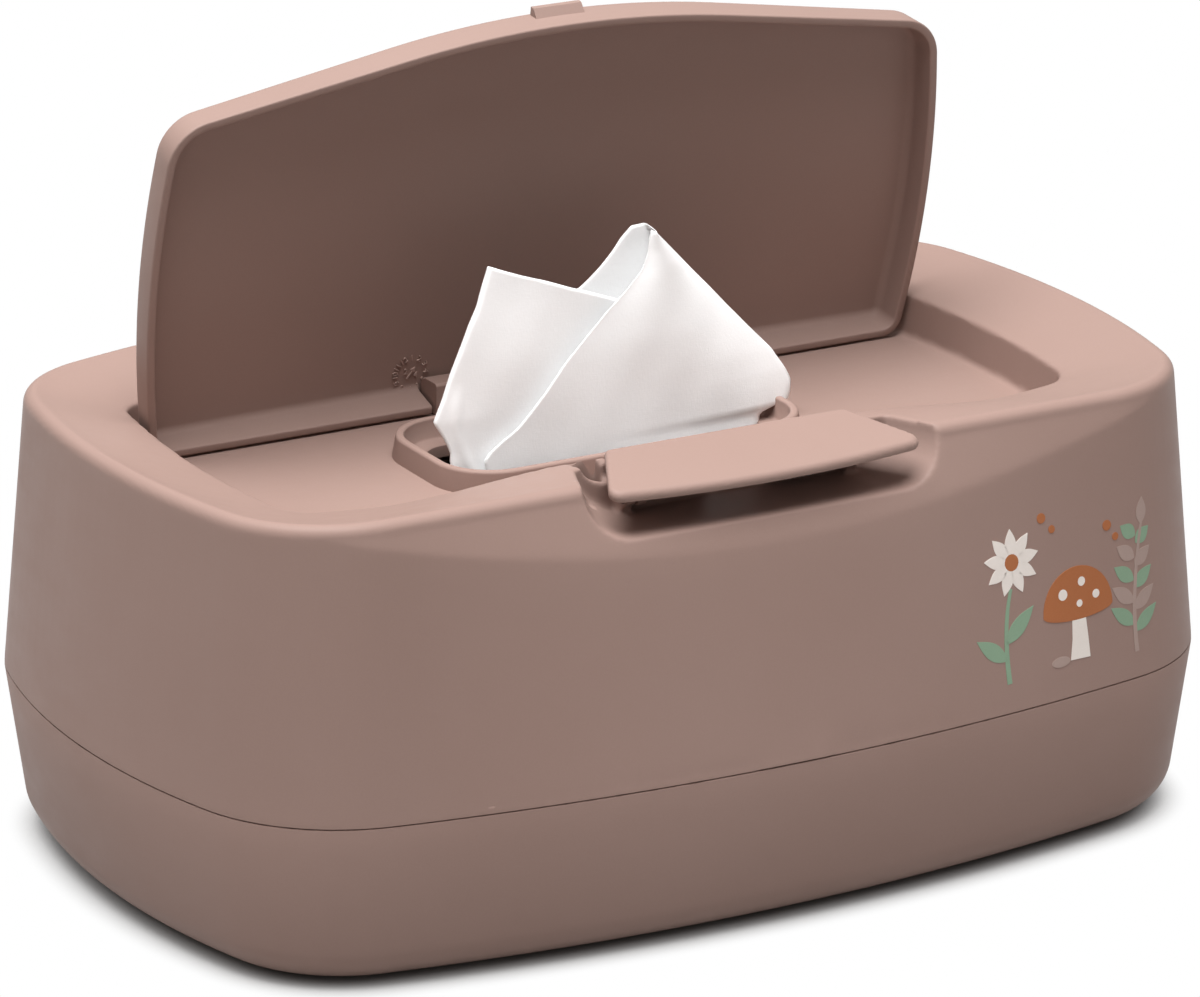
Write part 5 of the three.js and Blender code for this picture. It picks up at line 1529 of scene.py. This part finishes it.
def cloth_fibre_group():
    """Non-woven cloth: crossed fibres with a light emboss."""
    group, entry, leave = effect_group(
        "cloth_fibre", [("Vector", "NodeSocketVector", None), ("Emboss", "NodeSocketFloat", 0.5)],
        ["Shade", "Height"],
    )
    vector = entry.outputs["Vector"]
    along = noise(group, scaled(group, vector, (1.0, 1.0, 6.0)), 700.0, 3.0, 0.6)
    across = noise(group, scaled(group, vector, (6.0, 6.0, 1.0)), 500.0, 3.0, 0.6)
    fibres = arithmetic(group, "ADD", along, across)
    dots = group.nodes.new("ShaderNodeTexVoronoi")
    dots.inputs["Scale"].default_value = 1100.0
    dots.inputs["Randomness"].default_value = 0.8
    group.links.new(vector, dots.inputs["Vector"])
    emboss = arithmetic(group, "MULTIPLY", dots.outputs["Distance"], entry.outputs["Emboss"])
    crease = noise(group, vector, 90.0, 3.0)
    height = arithmetic(group, "ADD", arithmetic(group, "MULTIPLY", fibres, 0.5), emboss)
    height = arithmetic(group, "ADD", height, crease)
    shade = arithmetic(group, "ADD", spread(group, crease, 0.0, 0.6), spread(group, along, 0.0, 0.4))
    group.links.new(shade, leave.inputs["Shade"])
    group.links.new(height, leave.inputs["Height"])
    return group


def drawn_steel_group():
    """Fine lines along a drawn or turned surface, with some dull spots."""
    group, entry, leave = effect_group(
        "drawn_steel", [("Vector", "NodeSocketVector", None), ("Roughness", "NodeSocketFloat", 0.3)],
        ["Shade", "Roughness", "Height"],
    )
    vector = entry.outputs["Vector"]
    lines = noise(group, scaled(group, vector, (30.0, 1.0, 1.0)), 500.0, 3.0)
    spots = noise(group, vector, 700.0, 3.0)
    rough = arithmetic(group, "ADD", entry.outputs["Roughness"], spread(group, spots, -0.06, 0.14))
    group.links.new(spots, leave.inputs["Shade"])
    group.links.new(rough, leave.inputs["Roughness"])
    group.links.new(lines, leave.inputs["Height"])
    return group


def finish_material(name, effect, light, dark, bump, distance, values=None, **sockets):
    material = bpy.data.materials.new(name)
    material.use_nodes = True
    tree = material.node_tree
    tree.nodes.clear()
    output = tree.nodes.new("ShaderNodeOutputMaterial")
    shader = tree.nodes.new("ShaderNodeBsdfPrincipled")
    where = tree.nodes.new("ShaderNodeTexCoord")
    group = tree.nodes.new("ShaderNodeGroup")
    group.node_tree = effect
    for label, value in (values or {}).items():
        group.inputs[label].default_value = value
    blend = tree.nodes.new("ShaderNodeMix")
    blend.data_type = "RGBA"
    blend.inputs["A"].default_value = linear(*light)
    blend.inputs["B"].default_value = linear(*dark)
    relief = tree.nodes.new("ShaderNodeBump")
    relief.inputs["Strength"].default_value = bump
    relief.inputs["Distance"].default_value = distance
    links = tree.links
    links.new(where.outputs["Object"], group.inputs["Vector"])
    links.new(group.outputs["Shade"], blend.inputs["Factor"])
    links.new(blend.outputs["Result"], shader.inputs["Base Color"])
    if "Roughness" in group.outputs:
        links.new(group.outputs["Roughness"], shader.inputs["Roughness"])
    links.new(group.outputs["Height"], relief.inputs["Height"])
    links.new(relief.outputs["Normal"], shader.inputs["Normal"])
    links.new(shader.outputs["BSDF"], output.inputs["Surface"])
    for label, value in sockets.items():
        shader.inputs[label.replace("_", " ")].default_value = value
    return material


def plastic(name, light, dark, roughness, bump=0.12):
    return finish_material(name, MOULDED_GRAIN, light, dark, bump, GRAIN_DEPTH, {"Roughness": roughness},
                           Specular_IOR_Level=0.12)


def painted(piece, *materials):
    piece.data.materials.clear()
    for material in materials:
        piece.data.materials.append(material)
    return piece


MOULDED_GRAIN = moulded_grain_group()
CLOTH_FIBRE = cloth_fibre_group()
DRAWN_STEEL = drawn_steel_group()

shell_plastic = plastic("shell_plastic", (0.61, 0.515, 0.482), (0.594, 0.497, 0.463), 0.46)
tray_plastic = plastic("tray_plastic", (0.606, 0.51, 0.477), (0.588, 0.492, 0.458), 0.48)
lid_plastic = plastic("lid_plastic", (0.601, 0.51, 0.478), (0.584, 0.492, 0.46), 0.42)
# Lid plastic made lighter for the dial: a painted highlight on its raised numbers and arrow
dial_highlight_plastic = plastic("dial_highlight_plastic", (0.70, 0.605, 0.570), (0.68, 0.585, 0.550), 0.40)
button_plastic = plastic("button_plastic", (0.615, 0.519, 0.485), (0.598, 0.502, 0.468), 0.44)
bracket_plastic = plastic("bracket_plastic", (0.597, 0.502, 0.469), (0.579, 0.484, 0.451), 0.45)
foot_rubber = plastic("foot_rubber", (0.42, 0.38, 0.36), (0.36, 0.33, 0.31), 0.82, 0.3)
spring_steel = finish_material("spring_steel", DRAWN_STEEL, (0.80, 0.80, 0.81), (0.68, 0.68, 0.70), 0.08, 0.00003,
                               {"Roughness": 0.28}, Metallic=1.0)
pin_steel = finish_material("pin_steel", DRAWN_STEEL, (0.76, 0.76, 0.78), (0.64, 0.65, 0.67), 0.06, 0.00003,
                            {"Roughness": 0.26}, Metallic=1.0)
screw_steel = finish_material("screw_steel", DRAWN_STEEL, (0.72, 0.72, 0.73), (0.56, 0.57, 0.60), 0.12, 0.00004,
                              {"Roughness": 0.36}, Metallic=1.0)
wipe_cloth = finish_material("wipe_cloth", CLOTH_FIBRE, (0.965, 0.970, 0.972), (0.945, 0.948, 0.950), 0.25, 0.0002,
                             {"Emboss": 0.2}, Roughness=0.95, Sheen_Weight=0.1)
stack_cloth = finish_material("stack_cloth", CLOTH_FIBRE, (0.950, 0.945, 0.935), (0.905, 0.898, 0.890), 0.4, 0.0003,
                              {"Emboss": 0.5}, Roughness=0.94, Sheen_Weight=0.15)
green_ink = plastic("green_ink", (0.55, 0.655, 0.56), (0.52, 0.625, 0.53), 0.5)
taupe_ink = plastic("taupe_ink", (0.68, 0.60, 0.57), (0.65, 0.57, 0.54), 0.5)
cream_ink = plastic("cream_ink", (0.93, 0.90, 0.875), (0.90, 0.87, 0.845), 0.5)
rust_ink = plastic("rust_ink", (0.69, 0.44, 0.29), (0.66, 0.41, 0.265), 0.5)

# Pieces

cover = crisp_seam(softened(cover_solid(), "cover_shell", COVER_GRAIN, 3, 190000))
tray = shade_by_angle(tray_solid(), 35)
tray.name = "tray_shell"
lid = open_lid(shade_by_angle(lid_solid(), 35))
lid.name = "lid_shell"
button = softened(button_solid(), "button_shell", BUTTON_GRAIN, 2, 120000)
bracket = softened(bracket_solid(), "bracket_shell", BRACKET_GRAIN, 2, 60000)

for piece, material, node, body, slot in (
    (cover, shell_plastic, "upper_shell", "cover", "shell_plastic"),
    (tray, tray_plastic, "lower_tray", "tray", "tray_plastic"),
    (lid, lid_plastic, "lid_panel", "lid", "lid_plastic"),
    (button, button_plastic, "latch_button", "button", "button_plastic"),
    (bracket, bracket_plastic, "hinge_bracket", "cover", "bracket_plastic"),
):
    painted(piece, material)
    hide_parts(node)
    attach(piece, body)

collar = painted(collar_ring(), shell_plastic)
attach(collar, "cover")

for side, x in (("left", -1), ("right", 1)):
    for end, y in (("front", -1), ("back", 1)):
        pad = foot_pad(f"foot_pad_{end}_{side}", x * FOOT_X, y * FOOT_Y)
        painted(pad, foot_rubber)
        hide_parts(f"foot_{end}_{side}")
        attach(pad, "tray")

stack = painted(wipes_stack(stack_cloth), stack_cloth)
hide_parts("wipes_stack")
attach(stack, "tray")

wipe = painted(standing_wipe(), wipe_cloth)
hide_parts("popup_wipe")
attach(wipe, "cover")
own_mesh(wipe)

lid_spring_path = spring_path(place=(0, PIVOT.y, PIVOT.z), **LID_SPRING)
lid_spring = painted(wire("lid_spring_wire", lid_spring_path, LID_SPRING_WIRE), spring_steel)
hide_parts("lid_spring")
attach(lid_spring, "cover")
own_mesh(lid_spring)
button_spring_path = spring_path(place=(BUTTON_SPRING_X, BUTTON_PIVOT.y, BUTTON_PIVOT.z), **BUTTON_SPRING)
button_spring = painted(wire("button_spring_wire", button_spring_path, BUTTON_SPRING_WIRE), spring_steel)
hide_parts("button_spring")
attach(button_spring, "cover")
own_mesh(button_spring)

table = wall_table()
for piece, ink in zip(front_print(table), (green_ink, taupe_ink, cream_ink, rust_ink, cream_ink)):
    painted(piece, ink)
    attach(piece, "cover")
dial = painted(lid_dial(), dial_highlight_plastic)
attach(dial, "lid")

for node, material in (
    ("hinge_pin", pin_steel),
    ("button_pin", pin_steel),
    ("bracket_screw_left", screw_steel),
    ("bracket_screw_right", screw_steel),
):
    painted(frame["nodes"][node], material)

# Floor, backdrop, light and camera


def pale_floor():
    """Matt floor that the camera sees as white away from the box, and sees through from below."""
    floor = mesh_object("floor", [(-6000, -6000, 0), (6000, -6000, 0), (6000, 6000, 0), (-6000, 6000, 0)],
                        [(0, 1, 2, 3)])
    material = bpy.data.materials.new("pale_floor")
    material.use_nodes = True
    tree = material.node_tree
    tree.nodes.clear()
    output = tree.nodes.new("ShaderNodeOutputMaterial")
    matt = tree.nodes.new("ShaderNodeBsdfDiffuse")
    matt.inputs["Color"].default_value = (0.38, 0.375, 0.37, 1.0)
    white = tree.nodes.new("ShaderNodeEmission")
    white.inputs["Strength"].default_value = 1.0
    path = tree.nodes.new("ShaderNodeLightPath")
    seen = arithmetic(tree, "MAXIMUM", path.outputs["Is Camera Ray"], path.outputs["Is Glossy Ray"])
    seen = arithmetic(tree, "MAXIMUM", seen, path.outputs["Is Transmission Ray"])
    nearness = tree.nodes.new("ShaderNodeAmbientOcclusion")
    nearness.samples = 16
    nearness.inputs["Distance"].default_value = SHADOW_REACH
    open_floor = tree.nodes.new("ShaderNodeMapRange")
    open_floor.interpolation_type = "SMOOTHSTEP"
    open_floor.inputs["From Min"].default_value = SHADOW_DARK
    open_floor.inputs["From Max"].default_value = SHADOW_CLEAR
    tree.links.new(nearness.outputs["AO"], open_floor.inputs["Value"])
    part = arithmetic(tree, "MULTIPLY", seen, open_floor.outputs["Result"])
    blend = tree.nodes.new("ShaderNodeMixShader")
    tree.links.new(part, blend.inputs["Fac"])
    tree.links.new(matt.outputs["BSDF"], blend.inputs[1])
    tree.links.new(white.outputs["Emission"], blend.inputs[2])
    facing = tree.nodes.new("ShaderNodeNewGeometry")
    clear = tree.nodes.new("ShaderNodeBsdfTransparent")
    from_below = tree.nodes.new("ShaderNodeMixShader")
    tree.links.new(facing.outputs["Backfacing"], from_below.inputs["Fac"])
    tree.links.new(blend.outputs["Shader"], from_below.inputs[1])
    tree.links.new(clear.outputs["BSDF"], from_below.inputs[2])
    tree.links.new(from_below.outputs["Shader"], output.inputs["Surface"])
    painted(floor, material)


def studio_world():
    world = bpy.data.worlds.new("studio")
    bpy.context.scene.world = world
    world.use_nodes = True
    tree = world.node_tree
    tree.nodes.clear()
    output = tree.nodes.new("ShaderNodeOutputWorld")
    room = tree.nodes.new("ShaderNodeBackground")
    room.inputs["Color"].default_value = (1.0, 0.91, 0.87, 1.0)
    room.inputs["Strength"].default_value = ROOM_LIGHT
    backdrop = tree.nodes.new("ShaderNodeBackground")
    backdrop.inputs["Color"].default_value = (1.0, 1.0, 1.0, 1.0)
    path = tree.nodes.new("ShaderNodeLightPath")
    seen = arithmetic(tree, "MAXIMUM", path.outputs["Is Camera Ray"], path.outputs["Is Transmission Ray"])
    blend = tree.nodes.new("ShaderNodeMixShader")
    tree.links.new(seen, blend.inputs["Fac"])
    tree.links.new(room.outputs["Background"], blend.inputs[1])
    tree.links.new(backdrop.outputs["Background"], blend.inputs[2])
    tree.links.new(blend.outputs["Shader"], output.inputs["Surface"])


def soft_light(name, place, aim, width, height, power):
    light = bpy.data.lights.new(name, "AREA")
    light.shape = "RECTANGLE"
    light.size = width
    light.size_y = height
    light.energy = power
    lamp = bpy.data.objects.new(name, light)
    bpy.context.collection.objects.link(lamp)
    lamp.location = place
    lamp.rotation_euler = (Vector(aim) - Vector(place)).to_track_quat("-Z", "Y").to_euler()
    return lamp


pale_floor()
studio_world()
soft_light("overhead", (-0.2, -0.12, 1.4), (0.0, 0.0, 0.08), 1.2, 0.9, OVERHEAD_POWER)
soft_light("front_fill", (-0.7, -1.9, 0.75), (0.0, 0.0, 0.06), 1.6, 0.9, FILL_POWER)
soft_light("side_fill", (1.9, -0.2, 0.8), (0.0, 0.0, 0.06), 0.9, 0.9, SIDE_POWER)

def photo_camera():
    """Long lens from the front left, as the photograph was taken."""
    back = Vector((
        math.sin(CAMERA_AZIMUTH) * math.cos(CAMERA_ELEVATION),
        -math.cos(CAMERA_AZIMUTH) * math.cos(CAMERA_ELEVATION),
        math.sin(CAMERA_ELEVATION),
    ))
    data = bpy.data.cameras.new("camera")
    data.lens = CAMERA_LENS
    data.sensor_width = 36.0
    data.shift_x, data.shift_y = CAMERA_SHIFT
    data.clip_start = 0.05
    data.clip_end = 30.0
    camera = bpy.data.objects.new("camera", data)
    bpy.context.collection.objects.link(camera)
    camera.location = CAMERA_TARGET + back * CAMERA_DISTANCE
    camera.rotation_euler = back.to_track_quat("Z", "Y").to_euler()
    bpy.context.scene.camera = camera


photo_camera()
bpy.context.scene.view_settings.view_transform = "Standard"
